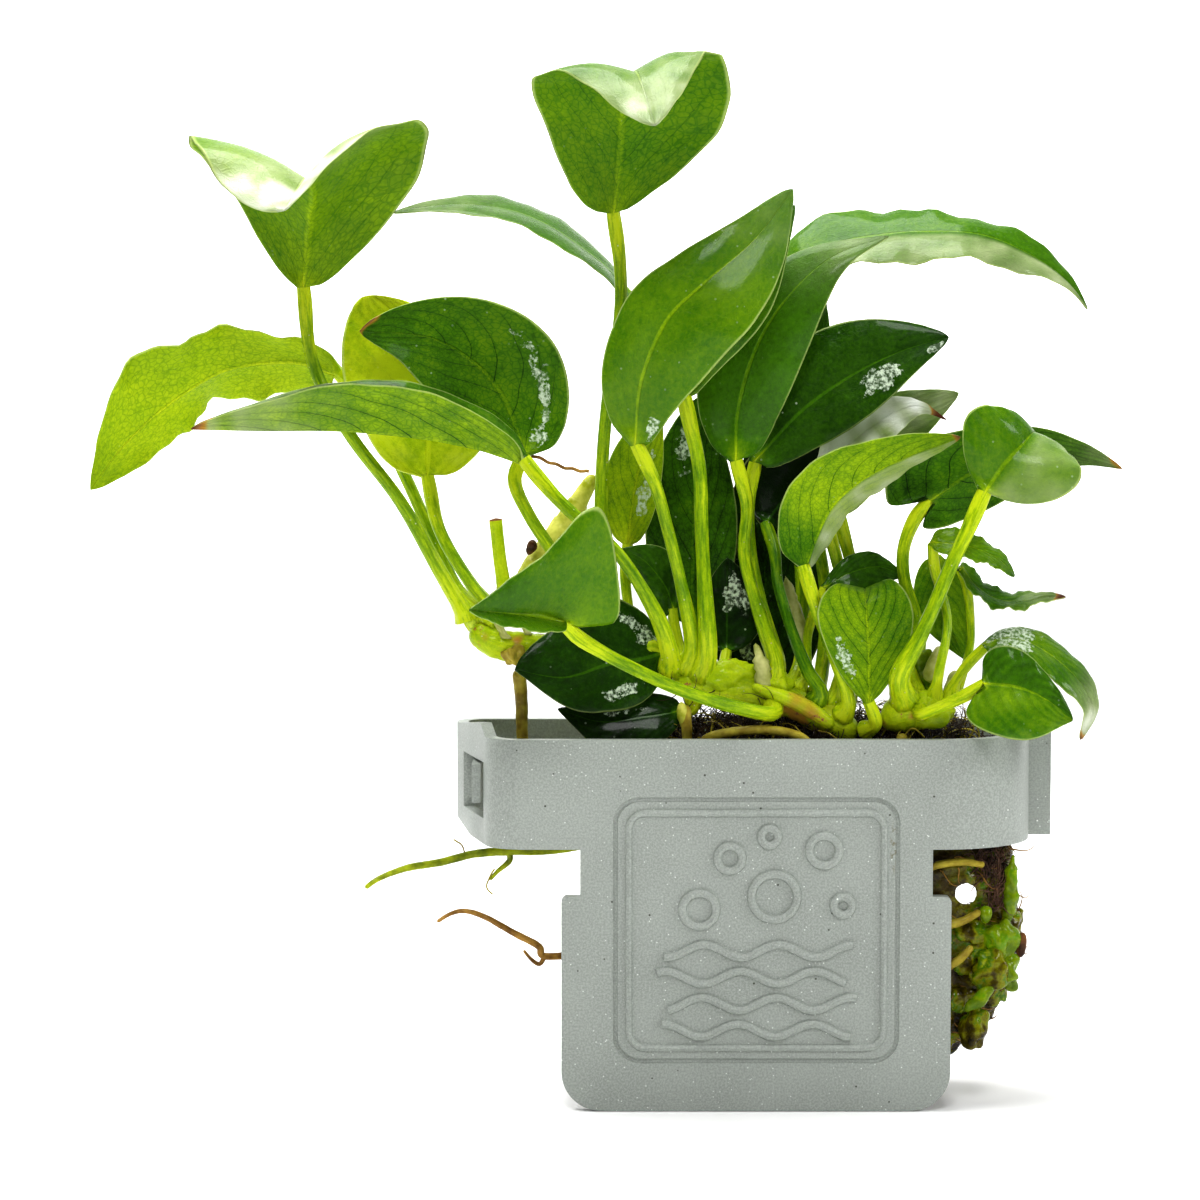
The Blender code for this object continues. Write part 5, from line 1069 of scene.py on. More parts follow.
class GrowthTrees:
    """The node trees that lay cords along lines, strands over a surface and lumps over a surface."""

    def __init__(self) -> None:
        """Builds the trees."""
        self.cords = self.make_cords()
        self.strands = self.make_strands()
        self.lumps = self.make_lumps()

    @staticmethod
    def start(name: str, numbers: tuple) -> tuple[bpy.types.NodeTree, Wiring, bpy.types.Node]:
        """Starts a tree with named inputs.

        Args:
            name: The tree's name.
            numbers: The names of its number inputs.

        Returns:
            The tree, its wiring and its input node.
        """
        tree = bpy.data.node_groups.new(name, "GeometryNodeTree")
        tree.interface.new_socket("Geometry", in_out="INPUT", socket_type="NodeSocketGeometry")
        for number in numbers:
            tree.interface.new_socket(number, in_out="INPUT", socket_type="NodeSocketFloat")
        tree.interface.new_socket("Seed", in_out="INPUT", socket_type="NodeSocketInt")
        tree.interface.new_socket("Material", in_out="INPUT", socket_type="NodeSocketMaterial")
        tree.interface.new_socket("Geometry", in_out="OUTPUT", socket_type="NodeSocketGeometry")
        wires = Wiring(tree)
        return tree, wires, wires.node("NodeGroupInput")

    @staticmethod
    def end(wires: Wiring, geometry: Socket, material: Socket) -> None:
        """Makes everything real, gives it its material and closes the tree."""
        real = wires.node("GeometryNodeRealizeInstances", {0: geometry}).outputs[0]
        dressed = wires.node("GeometryNodeSetMaterial", {"Geometry": real, "Material": material})
        wires.node("NodeGroupOutput", {0: dressed.outputs[0]})

    @staticmethod
    def scattered(wires: Wiring, given: bpy.types.Node) -> bpy.types.Node:
        """Spreads points over the surface that the tree is given."""
        inputs = {"Mesh": given.outputs["Geometry"], "Density": given.outputs["Density"],
                  "Seed": given.outputs["Seed"]}
        return wires.node("GeometryNodeDistributePointsOnFaces", inputs)

    @staticmethod
    def random_value(wires: Wiring, low: float, high: float, seed: int) -> Socket:
        """A number between two others that differs from point to point."""
        made = wires.node("FunctionNodeRandomValue", {"Min": low, "Max": high, "Seed": seed})
        return [socket for socket in made.outputs if socket.enabled][0]

    @staticmethod
    def strand_mesh(wires: Wiring, curves: Socket, thickness: Socket, sides: int, taper: bool) -> Socket:
        """Gives curves a section of so many sides, thinner towards the end where taper is set."""
        share: object = 0.0
        if taper:
            along = wires.node("GeometryNodeSplineParameter").outputs["Factor"]
            share = wires.math("MULTIPLY", along, 0.65)
        radius = wires.math("MULTIPLY", thickness, wires.math("SUBTRACT", 1.0, share))
        sized = wires.node("GeometryNodeSetCurveRadius", {"Curve": curves, "Radius": radius})
        ring = wires.node("GeometryNodeCurvePrimitiveCircle", {"Resolution": sides, "Radius": 1.0})
        made = wires.node("GeometryNodeCurveToMesh", {"Curve": sized.outputs[0],
                                                      "Profile Curve": ring.outputs[0],
                                                      "Fill Caps": True})
        if "Scale" in made.inputs:
            wires.put(made.inputs["Scale"], radius)
        return wires.node("GeometryNodeSetShadeSmooth", {0: made.outputs[0]}).outputs[0]

    def make_cords(self) -> bpy.types.NodeTree:
        """Lays a wavy half-sunk cord along each line of the mesh it is given."""
        tree, wires, given = self.start("cords_along_lines", ("Thickness", "Wave height", "Wave length"))
        curve = wires.node("GeometryNodeMeshToCurve", {"Mesh": given.outputs["Geometry"]}).outputs[0]
        fine = wires.node("GeometryNodeResampleCurve", {"Curve": curve, "Length": 0.35 * MM}, mode="LENGTH")
        place = wires.node("ShaderNodeSeparateXYZ", {0: wires.node("GeometryNodeInputPosition").outputs[0]})
        turn = wires.math("DIVIDE", place.outputs[0], given.outputs["Wave length"])
        turn = wires.math("ADD", turn, wires.math("MULTIPLY", place.outputs[2], 90.0))
        rise = wires.math("SINE", wires.math("MULTIPLY", turn, 2 * math.pi))
        rise = wires.math("MULTIPLY", rise, given.outputs["Wave height"])
        offset = wires.node("ShaderNodeCombineXYZ", {2: rise}).outputs[0]
        moved = wires.node("GeometryNodeSetPosition", {"Geometry": fine.outputs[0], "Offset": offset})
        mesh = self.strand_mesh(wires, moved.outputs[0], given.outputs["Thickness"], 8, False)
        self.end(wires, mesh, given.outputs["Material"])
        return tree

    def make_strands(self) -> bpy.types.NodeTree:
        """Grows bent strands out of a surface."""
        tree, wires, given = self.start("strands_over_surface",
                                        ("Density", "Length", "Thickness", "Lift", "Ruffle"))
        spread = self.scattered(wires, given)
        lift = given.outputs["Lift"]
        bend = wires.node("ShaderNodeCombineXYZ", {0: 0.2, 1: 0.1, 2: wires.math("MULTIPLY", lift, 0.8)})
        over = wires.node("ShaderNodeCombineXYZ", {0: 0.7, 1: -0.25, 2: wires.math("MULTIPLY", lift, 1.1)})
        tip = wires.node("ShaderNodeCombineXYZ", {0: 1.0, 1: 0.1, 2: wires.math("MULTIPLY", lift, 0.5)})
        strand = wires.node("GeometryNodeCurvePrimitiveBezierSegment",
                            {"Resolution": 7, "Start": (0.0, 0.0, -0.04), "Start Handle": bend.outputs[0],
                             "End Handle": over.outputs[0], "End": tip.outputs[0]})
        spin = self.random_value(wires, 0.0, 6.283, 4)
        by = wires.node("FunctionNodeAxisAngleToRotation", {"Axis": (0.0, 0.0, 1.0), "Angle": spin})
        turned = wires.node("FunctionNodeRotateRotation", {0: spread.outputs["Rotation"], 1: by.outputs[0]},
                            rotation_space="LOCAL")
        size = self.random_value(wires, 0.45, 1.3, 7)
        scale = wires.math("MULTIPLY", size, given.outputs["Length"])
        set_out = wires.node("GeometryNodeInstanceOnPoints",
                             {"Points": spread.outputs["Points"], "Instance": strand.outputs[0],
                              "Rotation": turned.outputs[0], "Scale": scale})
        real = wires.node("GeometryNodeRealizeInstances", {0: set_out.outputs[0]}).outputs[0]
        place = wires.node("GeometryNodeInputPosition").outputs[0]
        cloud = wires.node("ShaderNodeTexNoise", {"Scale": 420.0, "Detail": 2.0, "Vector": place})
        centred = wires.node("ShaderNodeVectorMath", {0: cloud.outputs["Color"], 1: (0.5, 0.5, 0.5)},
                             operation="SUBTRACT")
        ruffle = wires.node("ShaderNodeVectorMath", {0: centred.outputs[0]}, operation="SCALE")
        wires.put(ruffle.inputs["Scale"], given.outputs["Ruffle"])
        moved = wires.node("GeometryNodeSetPosition", {"Geometry": real, "Offset": ruffle.outputs[0]})
        mesh = self.strand_mesh(wires, moved.outputs[0], given.outputs["Thickness"], 3, True)
        self.end(wires, mesh, given.outputs["Material"])
        return tree

    def make_lumps(self) -> bpy.types.NodeTree:
        """Heaps uneven soft lumps over a surface."""
        tree, wires, given = self.start("lumps_over_surface", ("Density", "Size", "Unevenness"))
        spread = self.scattered(wires, given)
        ball = wires.node("GeometryNodeMeshIcoSphere", {"Radius": 1.0, "Subdivisions": 4})
        size = self.random_value(wires, 0.35, 1.0, 3)
        wide = wires.math("MULTIPLY", size, given.outputs["Size"])
        tall = wires.math("MULTIPLY", wide, 0.42)
        scale = wires.node("ShaderNodeCombineXYZ", {0: wide, 1: wide, 2: tall})
        set_out = wires.node("GeometryNodeInstanceOnPoints",
                             {"Points": spread.outputs["Points"], "Instance": ball.outputs["Mesh"],
                              "Rotation": spread.outputs["Rotation"], "Scale": scale.outputs[0]})
        real = wires.node("GeometryNodeRealizeInstances", {0: set_out.outputs[0]}).outputs[0]
        place = wires.node("GeometryNodeInputPosition").outputs[0]
        cloud = wires.node("ShaderNodeTexNoise", {"Scale": 520.0, "Detail": 3.0, "Vector": place})
        high = wires.math("SUBTRACT", cloud.outputs["Fac"], 0.5)
        high = wires.math("MULTIPLY", high, given.outputs["Unevenness"])
        push = wires.node("ShaderNodeVectorMath", {0: wires.node("GeometryNodeInputNormal").outputs[0]},
                          operation="SCALE")
        wires.put(push.inputs["Scale"], high)
        moved = wires.node("GeometryNodeSetPosition", {"Geometry": real, "Offset": push.outputs[0]})
        smooth = wires.node("GeometryNodeSetShadeSmooth", {0: moved.outputs[0]}).outputs[0]
        self.end(wires, smooth, given.outputs["Material"])
        return tree

    @staticmethod
    def grow(tree: bpy.types.NodeTree, source: bpy.types.Mesh, name: str, inputs: dict) -> bpy.types.Object:
        """Runs a tree over a mesh.

        Args:
            tree: The tree.
            source: What it grows along or over.
            name: The name of the piece.
            inputs: The tree's inputs by name.

        Returns:
            The piece, with a plain mesh.
        """
        thing = object_from(source, name)
        modifier = thing.modifiers.new(name, "NODES")
        modifier.node_group = tree
        for item in tree.interface.items_tree:
            if item.item_type == "SOCKET" and item.in_out == "INPUT" and item.name in inputs:
                modifier[item.identifier] = inputs[item.name]
        return finished(thing)


def lines_mesh(lines: list, name: str, closed: bool = False) -> bpy.types.Mesh:
    """A mesh of edges only.

    Args:
        lines: The lines, each a list of places.
        name: The mesh's name.
        closed: Whether each line comes back to its start.

    Returns:
        The mesh.
    """
    points, edges = [], []
    for line in lines:
        first = len(points)
        points += [tuple(p) for p in line]
        edges += [(first + k, first + k + 1) for k in range(len(line) - 1)]
        if closed:
            edges.append((len(points) - 1, first))
    mesh = bpy.data.meshes.new(name)
    mesh.from_pydata(points, edges, [])
    return mesh


def patch_of(mesh: bpy.types.Mesh, wanted: object, name: str) -> bpy.types.Mesh:
    """The part of a mesh whose faces' middles and normals are wanted.

    Args:
        mesh: The whole mesh.
        wanted: A test that takes a face's middle and normal.
        name: The patch's name.

    Returns:
        The patch.
    """
    body = bmesh.new()
    body.from_mesh(mesh)
    doomed = [face for face in body.faces if not wanted(face.calc_center_median(), face.normal)]
    bmesh.ops.delete(body, geom=doomed, context="FACES")
    patch = bpy.data.meshes.new(name)
    body.to_mesh(patch)
    body.free()
    return patch


def blob(name: str, centre: Point, axes: tuple, lean: float, roughness: float,
         pits: float = 600.0) -> bpy.types.Mesh:
    """An uneven rounded lump.

    Args:
        name: The mesh's name.
        centre: Its middle.
        axes: Half sizes across, deep and up before it leans, in millimetres.
        lean: How far it leans over to the right in the front view, in radians.
        roughness: Height of its bumps, in millimetres.
        pits: How fine the bumps are.

    Returns:
        The mesh.
    """
    body = bmesh.new()
    bmesh.ops.create_icosphere(body, subdivisions=4, radius=1)
    for vert in body.verts:
        direction = vert.co.normalized()
        place = Vector([c * a * MM for c, a in zip(direction, axes)])
        place += direction * noise.noise(place * pits + Vector(centre) * 300) * roughness * MM
        across = place.x * math.cos(lean) + place.z * math.sin(lean)
        up = -place.x * math.sin(lean) + place.z * math.cos(lean)
        vert.co = Vector(centre) + Vector((across, place.y, up))
    mesh = bpy.data.meshes.new(name)
    body.to_mesh(mesh)
    body.free()
    mesh.shade_smooth()
    return mesh


BRANCH = Stem("rhizome_branch", ((-1.2, 85.0, 9.2), (4.4, 83.0, 8.4), (9.6, 80.8, 8.2), (15.4, 76.8, 8.8)),
              (0.8, 1.5, 1.7, 1.3), "stem_green")


@dataclass
class Stems:
    """The creeping stem and the roots: round, swollen and narrowed, ringed by old leaf scars."""

    finishes: Finishes
    growth: GrowthTrees
    row_gap: float = 0.3 * MM
    sides: int = 26
    scar_gap: float = 2.3 * MM

    def __post_init__(self) -> None:
        """Finds the centre lines that the leaf stalks start from."""
        self.lines = {}
        for stem in STEMS + ROOTS + (BRANCH,):
            line = smooth_line(self.joined(stem), 60)
            self.lines[stem.name] = (line, max(stem.radii) * MM)

    def joined(self, stem: Stem) -> list[Point]:
        """The places on a stem's centre line, where a fork starts inside the root that it leaves."""
        places = [seen(*place) for place in stem.points]
        if stem.name.endswith("_fork"):
            parent = self.lines[stem.name.removesuffix("_fork")][0]
            places.insert(0, parent[np.argmin(np.linalg.norm(parent - places[0], axis=1))])
        return places

    def rough_radius(self, stem: Stem, run: float, spot: Point) -> float:
        """How the radius swells at a scar or a bump, as a factor.

        Args:
            stem: The stem or root.
            run: How far along it, in metres.
            spot: The place on its skin.

        Returns:
            The factor.
        """
        rough = noise.noise(Vector(spot) * 480) * 0.08 + noise.noise(Vector(spot) * 1300) * 0.045
        if stem.name.startswith("rhizome"):
            phase = run / self.scar_gap + 0.35 * noise.noise(Vector(spot) * 160)
            rough = rough * 0.4 + 0.05 * abs(math.sin(math.pi * phase)) ** 0.6 - 0.03
            rough += noise.noise(Vector(spot) * 210) * 0.05
        elif stem.name == "shoot_thick":
            phase = run / (5.4 * MM) + 0.4 * noise.noise(Vector(spot) * 120)
            rough = rough * 0.5 + 0.09 * (phase % 1.0) - 0.05
        elif stem.name == "stalk_cut":
            rough *= 0.4
        return 1 + rough

    def body_of(self, stem: Stem) -> bpy.types.Mesh:
        """The mesh of one stem or root.

        Args:
            stem: The stem or root.

        Returns:
            The mesh, closed at both ends.
        """
        rough_line = smooth_line(self.joined(stem), 60)
        length = np.linalg.norm(np.diff(rough_line, axis=0), axis=1).sum()
        rows = max(24, int(length / self.row_gap))
        line = smooth_line(self.joined(stem), rows)
        gap = length / (rows - 1)
        side = np.array((0.31, 0.2, 0.93))
        points, tints, straight = [], [], []
        for step, centre in enumerate(line):
            along = unit(line[min(step + 1, rows - 1)] - line[max(step - 1, 0)])
            side = unit(side - np.dot(side, along) * along)
            up = np.cross(side, along)
            radius = between(stem.radii, step / (rows - 1)) * MM
            ends = (step * gap, (rows - 1 - step) * gap)
            flat_end = stem.name == "stalk_cut"
            for number, reach in enumerate(ends):
                cap = radius * (0.12 if flat_end and number else 1.0)
                if reach < cap:
                    radius *= math.sqrt(max(1 - (1 - reach / cap) ** 2, 0.004))
            for k in range(self.sides):
                angle = 2 * math.pi * k / self.sides
                out = math.cos(angle) * side + math.sin(angle) * up
                spot = centre + radius * out
                points.append(centre + radius * out * self.rough_radius(stem, step * gap, spot))
                tints.append(self.brownness(stem, spot, step / (rows - 1)))
                straight.append((radius * math.cos(angle), radius * math.sin(angle), step * gap * 0.12))
        faces = []
        for row in range(rows - 1):
            for k in range(self.sides):
                after = (k + 1) % self.sides
                faces.append((row * self.sides + k, row * self.sides + after,
                              (row + 1) * self.sides + after, (row + 1) * self.sides + k))
        last = (rows - 1) * self.sides
        faces.append(tuple(reversed(range(self.sides))))
        faces.append(tuple(last + k for k in range(self.sides)))
        mesh = mesh_from(points, faces, stem.name)
        body = bmesh.new()
        body.from_mesh(mesh)
        bmesh.ops.recalc_face_normals(body, faces=body.faces)
        body.to_mesh(mesh)
        body.free()
        layer = mesh.attributes.new("dry", "FLOAT", "POINT")
        layer.data.foreach_set("value", np.array(tints, np.float32))
        layer = mesh.attributes.new("straight", "FLOAT_VECTOR", "POINT")
        layer.data.foreach_set("vector", np.array(straight, np.float32).ravel())
        return mesh

    @staticmethod
    def brownness(stem: Stem, spot: Point, share: float) -> float:
        """How brown and corky the skin is there, from 0 to 1."""
        cloud = noise.noise(Vector(spot) * 300)
        if stem.name == "rhizome_main":
            patch = Vector(spot) - Vector(seen(8.4, 79.2, 9.4))
            near = max(0.0, 1.25 - Vector((patch.x * 0.7, patch.y, patch.z)).length / (5 * MM))
            return min(0.3, max(0.0, near * (0.4 + cloud)))
        if stem.name == "stalk_cut":
            return 0.8 if share > 0.985 else 0.0
        if stem is BRANCH:
            return max(0.0, 0.26 - abs(share - 0.62) * 0.8 + 0.2 * cloud)
        if stem.name == "rhizome_right":
            return max(0.0, cloud - 0.3)
        return max(0.0, cloud - 0.3) * 0.8

    def finish_of(self, stem: Stem) -> bpy.types.Material:
        """The finish of one stem or root."""
        by_name = {"root_left_green": self.finishes.root_green, "stalk_cut": self.finishes.rhizome,
                   "shoot_thick": self.finishes.shoot,
                   "root_left_green_fork": self.finishes.root_green}
        by_material = {"stem_green": self.finishes.rhizome, "sheath_dry": self.finishes.dry_sheath,
                       "root_yellow": self.finishes.root_yellow, "root_brown": self.finishes.root_brown}
        return by_name.get(stem.name, by_material[stem.material])

    def build(self) -> None:
        """Makes every stem and root, and the small growths on them."""
        for stem in STEMS + ROOTS + (BRANCH,):
            mesh = self.body_of(stem)
            mesh.materials.append(self.finish_of(stem))
            if stem is BRANCH:
                place_piece(object_from(mesh, stem.name), stem.material)
            else:
                place_piece(object_from(mesh, f"{stem.name}_grown"), stem.material, stem.name)
        self.build_buds()
        self.build_scraps()
        self.build_threads()

    def build_buds(self) -> None:
        """The brown knob and bud on the thick shoot, the stem's swellings and the pale bulb."""
        made = self.finishes
        table = (
            ("knob_brown", (-48.6, 90.9, 12.6), (2.3, 1.7, 2.0), 0.4, 1.3, made.root_yellow, "sheath_dry"),
            ("bud_brown", (-45.4, 112.6, 18.6), (1.0, 1.0, 1.6), 0.5, 0.7, made.bark, "sheath_dry"),
            ("bulb_left", (-14.8, 79.0, 9.1), (1.3, 1.3, 3.0), -0.2, 0.4, made.shoot, "root_yellow"),
            ("swelling_centre", (-6.6, 86.6, 12.2), (7.6, 2.6, 4.0), -0.14, 1.2, made.rhizome, "stem_green"),
            ("swelling_middle", (3.0, 85.0, 11.6), (4.6, 2.5, 3.6), -0.3, 1.0, made.rhizome, "stem_green"),
            ("swelling_right", (33.8, 79.8, 8.6), (5.8, 2.7, 3.6), -0.08, 1.0, made.rhizome, "stem_green"),
            ("fold_olive", (34.0, 88.0, 13.4), (2.3, 1.6, 4.6), -0.25, 0.9, made.algae_bright, "stem_green"),
            ("fold_pale", (38.6, 85.0, 12.4), (1.3, 0.9, 3.2), 0.35, 0.5, made.dry_sheath, "sheath_dry"),
        )
        for name, place, axes, lean, roughness, finish, slot in table:
            mesh = blob(name, seen(*place), axes, lean, roughness)
            mesh.materials.append(finish)
            place_piece(object_from(mesh, name), slot)

    def build_scraps(self) -> None:
        """Papery torn bits of old sheaths round the feet of the stalks."""
        table = (
            ((1.4, 84.6, 8.6), (1.0, 88.8, 7.6), (-0.4, 93.6, 8.0), 3.0),
            ((-50.2, 94.4, 12.4), (-52.0, 97.6, 12.0), (-52.4, 100.6, 13.0), 1.6),
            ((-45.8, 95.2, 14.6), (-47.8, 99.4, 14.4), (-48.6, 102.6, 15.6), 1.3),
            ((27.6, 82.2, 5.8), (27.0, 85.8, 5.2), (27.8, 88.8, 5.8), 1.6),
            ((9.0, 93.0, 16.6), (7.6, 100.0, 17.0), (5.6, 107.0, 17.6), 3.0),
        )
        points, faces = [], []
        for base, middle, top, width in table:
            line = smooth_line([seen(*base), seen(*middle), seen(*top)], 18)
            first = len(points)
            for row, centre in enumerate(line):
                share = row / 17
                ragged = 1 + 0.5 * noise.noise(Vector(centre) * 900)
                half = width * MM * (1 - share**2.2) ** 0.6 * ragged * 0.6
                for k in range(9):
                    across = k / 4 - 1
                    curl = (across * across) * 0.9 * half
                    rough = noise.noise(Vector(centre) * 500 + Vector((across, 0, 0))) * 0.25 * MM
                    points.append(centre + np.array((across * half, curl + rough, 0)))
            for row in range(17):
                for k in range(8):
                    a = first + row * 9 + k
                    faces.append((a, a + 1, a + 10, a + 9))
        mesh = mesh_from(points, faces, "sheath_scraps")
        thing = object_from(mesh, "sheath_scraps")
        mesh.materials.append(self.finishes.dry_sheath)
        solid = thing.modifiers.new("paper", "SOLIDIFY")
        solid.thickness = 0.14 * MM
        place_piece(finished(thing), "sheath_dry")

    def build_threads(self) -> None:
        """Thin loose root hairs, and fuzz on the creeping stem."""
        threads = (
            ((-45.3, 131.2, 16), (-38.9, 128.8, 16), (-33.7, 127.8, 16.4)),
            ((29.4, 75.2, 7.0), (31.4, 76.6, 5.4), (33.4, 74.6, 5.6)),
            ((-52.6, 48.4, 14.6), (-54.2, 45.2, 14.8), (-53.0, 43.4, 15.0)),
            ((-58.4, 51.2, 11.4), (-59.2, 53.4, 11.0), (-60.8, 54.2, 10.8)),
        )
        lines = [smooth_line([seen(*p) for p in thread], 16) for thread in threads]
        for name, some, thick, finish, slot in (
                ("dry_twig", lines[:1], 0.34, self.finishes.root_brown, "root_brown"),
                ("root_hairs", lines[1:], 0.16, self.finishes.root_yellow, "root_yellow")):
            hair = self.growth.grow(self.growth.cords, lines_mesh(some, name), name,
                                    {"Thickness": thick * MM, "Wave height": 0.15 * MM,
                                     "Wave length": 3 * MM, "Material": finish})
            place_piece(hair, slot)
        source = bpy.data.objects["rhizome_main_grown"].data.copy()
        low = patch_of(source, lambda middle, normal: normal.z < 0.15, "stem_underside")
        fuzz = self.growth.grow(self.growth.strands, low, "stem_fibres",
                                {"Density": 110000.0, "Length": 5 * MM, "Thickness": 0.13 * MM, "Lift": 0.7,
                                 "Ruffle": 1.6 * MM, "Seed": 11, "Material": self.finishes.dark_fibre})
        place_piece(fuzz, "root_brown")


@dataclass
class Foliage:
    """The leaves, each one body from the foot of its stalk to the tip of its blade."""

    stems: Stems
    finishes: Finishes
    stalk_rows: int = 34
    blade_rows: int = 50
    blade_half: float = 0.24 * MM
    rib_half: float = 0.6 * MM
    foot_depth: float = 0.9 * MM
    spread: tuple = (1.0, 0.975, 0.94, 0.88, 0.8, 0.7, 0.58, 0.46, 0.34, 0.23, 0.14, 0.07, 0.03)

    def __post_init__(self) -> None:
        """Lays out the places round a section, from the right margin over the upper side."""
        upper = list(self.spread) + [0.0] + [-v for v in reversed(self.spread)]
        lower = [-v for v in self.spread[1:]] + [0.0] + [v for v in reversed(self.spread[1:])]
        self.ring = [(v, 1) for v in upper] + [(v, -1) for v in lower]

    @staticmethod
    def outline(place: float, widest: float) -> float:
        """How wide an ovate blade is at place, from 0 at the base to 1 at the tip."""
        base_power = 0.75 * widest / (1 - widest)
        rise = (place / widest) ** base_power
        return rise * ((1 - place) / (1 - widest)) ** 0.75

    def foot_of(self, leaf: Leaf) -> Point:
        """Where the stalk starts, just inside its stem's skin."""
        line, radius = self.stems.lines[leaf.stem]
        guide = seen(*leaf.stalk[0])
        nearest = line[np.argmin(np.linalg.norm(line - guide, axis=1))]
        return nearest + unit(guide - nearest) * (radius - self.foot_depth)

    def blade_section(self, place: float, centre: Point, along: Point, leaf: Leaf, look: LeafLook,
                      phase: float) -> tuple[list[Point], Point]:
        """One section across the blade.

        Args:
            place: Where along the blade, from 0 to 1.
            centre: The midrib's place.
            along: The midrib's direction.
            leaf: The leaf.
            look: How it looks.
            phase: Where its margin's waves start.

        Returns:
            The section's points and its side direction.
        """
        width = self.outline(place, leaf.widest)
        reach = {}
        for half in ("right", "left"):
            part = between(getattr(leaf, half), place)
            reach[half] = np.array((part[0], part[2], part[1])) * MM * width
        side = unit(reach["right"] - reach["left"])
        neck = leaf.stalk_radius * MM * (1 - place) ** 2 * 0.8
        right, left = reach["right"] + side * neck, reach["left"] - side * neck
        right_up, left_up = unit(np.cross(right, along)), unit(np.cross(along, left))
        middle_up = unit(right_up + left_up)
        stalk = leaf.stalk_radius * MM
        rib = self.rib_half * (1 - 0.75 * place) + (stalk - self.rib_half) * max(0, 1 - 7 * place)
        section = []
        for v, face in self.ring:
            share = abs(v)
            arm, own_up = (right, right_up) if v >= 0 else (left, left_up)
            up = unit(middle_up + (own_up - middle_up) * ease(0.0, 0.35, share))
            reach_out = share * np.linalg.norm(arm)
            bell = 0.5 + 0.5 * math.cos(math.pi * min(1.0, reach_out / (1.7 * rib)))
            sunk = 1.0 if face < 0 else 0.35 + 0.65 * max(0, 1 - 7 * place)
            thick = self.blade_half + (rib - self.blade_half) * bell * sunk
            thick *= math.sqrt(max(0.0, 1 - share**8))
            rounded = stalk * math.sqrt(max(0.0, 1 - share**2))
            thick += (rounded - thick) * max(0, 1 - 20 * place)
            turn = 2 * math.pi * look.waves * place + phase + (1.9 if v < 0 else 0.0)
            swell = math.sin(turn) + 0.45 * math.sin(2.7 * turn + 1)
            fade = math.sin(math.pi * min(place * 1.1, 1.0)) ** 0.6
            lift = look.wave * MM * share**2.4 * swell * fade
            lift += look.bow * np.linalg.norm(arm) * math.sin(math.pi * share) * ease(0.0, 0.2, place)
            section.append(centre + arm * share + up * (face * thick + lift))
        return section, side

    def stalk_sections(self, line: Point, side: Point, leaf: Leaf) -> list:
        """Round, faintly ridged sections up the stalk.

        Args:
            line: The stalk's centre line.
            side: The blade's side direction at the top.
            leaf: The leaf.

        Returns:
            The sections from the foot up.
        """
        last = len(line) - 1
        length = np.linalg.norm(np.diff(line, axis=0), axis=1).sum()
        sections = []
        for step in range(last, -1, -1):
            along = unit(line[min(step + 1, last)] - line[max(step - 1, 0)])
            side = unit(side - np.dot(side, along) * along)
            up = np.cross(side, along)
            share = step / last
            radius = leaf.foot_radius + (leaf.stalk_radius - leaf.foot_radius) * min(1, 2.5 * share)
            rise, fall = share * length / MM, (1 - share) * length / MM
            radius += 0.8 * math.exp(-((rise / 2.2) ** 2)) + 0.22 * math.exp(-(((fall - 4) / 4.5) ** 2))
            section = []
            for v, face in self.ring:
                angle = face * math.acos(max(-1.0, min(1.0, v)))
                ridge = 1 + 0.03 * math.cos(7 * angle + 2 * share) + 0.025 * math.cos(13 * angle)
                out = math.cos(angle) * side + math.sin(angle) * up
                section.append(line[step] + radius * MM * ridge * out)
            sections.append(section)
        return sections[::-1]

    def build_leaf(self, leaf: Leaf, number: int) -> None:
        """Makes one leaf and hands it over.

        Args:
            leaf: The leaf.
            number: Its place in the table, which sets its waves.
        """
        look = LOOKS[leaf.name]
        phase = 2.4 * number
        stalk = [self.foot_of(leaf)] + [seen(*place) for place in leaf.stalk]
        blade = [stalk[-1]] + [seen(*place) for place in leaf.blade]
        lower = smooth_line(stalk, self.stalk_rows)
        fine = smooth_line(blade, 401)
        turns = np.linspace(0, 1, self.blade_rows + 2)[1:-1]
        places = 0.5 - 0.5 * np.cos(np.pi * turns)
        places = 0.55 * places + 0.45 * turns
        sections, first_side = [], None
        for place in places:
            spot = round(place * 400)
            along = unit(fine[min(spot + 14, 400)] - fine[max(spot - 14, 0)])
            section, side = self.blade_section(place, fine[spot], along, leaf, look, phase)
            first_side = side if first_side is None else first_side
            sections.append(section)
        rows = self.stalk_sections(lower, first_side, leaf) + sections
        points = np.array([point for row in rows for point in row] + [lower[0], fine[-1]])
        points = self.inside_box(points)
        self.finish_leaf(leaf, look, points, places)

    def inside_box(self, points: Point) -> Point:
        """Keeps a leaf inside the solids' box, both faces together so that it stays as thick.

        Args:
            points: The sections' points, then the foot and the tip.

        Returns:
            The points, moved in where they stuck out.
        """
        sides = len(self.ring)
        places, faces = np.array(self.ring).T
        off = np.abs(places[:, None] - places) + 1e-6 * np.abs(faces[:, None] + faces)
        partner = off.argmin(axis=1)
        rings = points[:-2].reshape(-1, sides, 3)
        middles = (rings + rings[:, partner]) / 2
        middles = np.concatenate((middles.reshape(-1, 3), points[-2:]))
        half = points - middles
        low = np.array(CAD_BOX[0]) + 0.04 * MM + np.abs(half)
        high = np.array(CAD_BOX[1]) - 0.04 * MM - np.abs(half)
        return np.clip(middles, low, high) + half

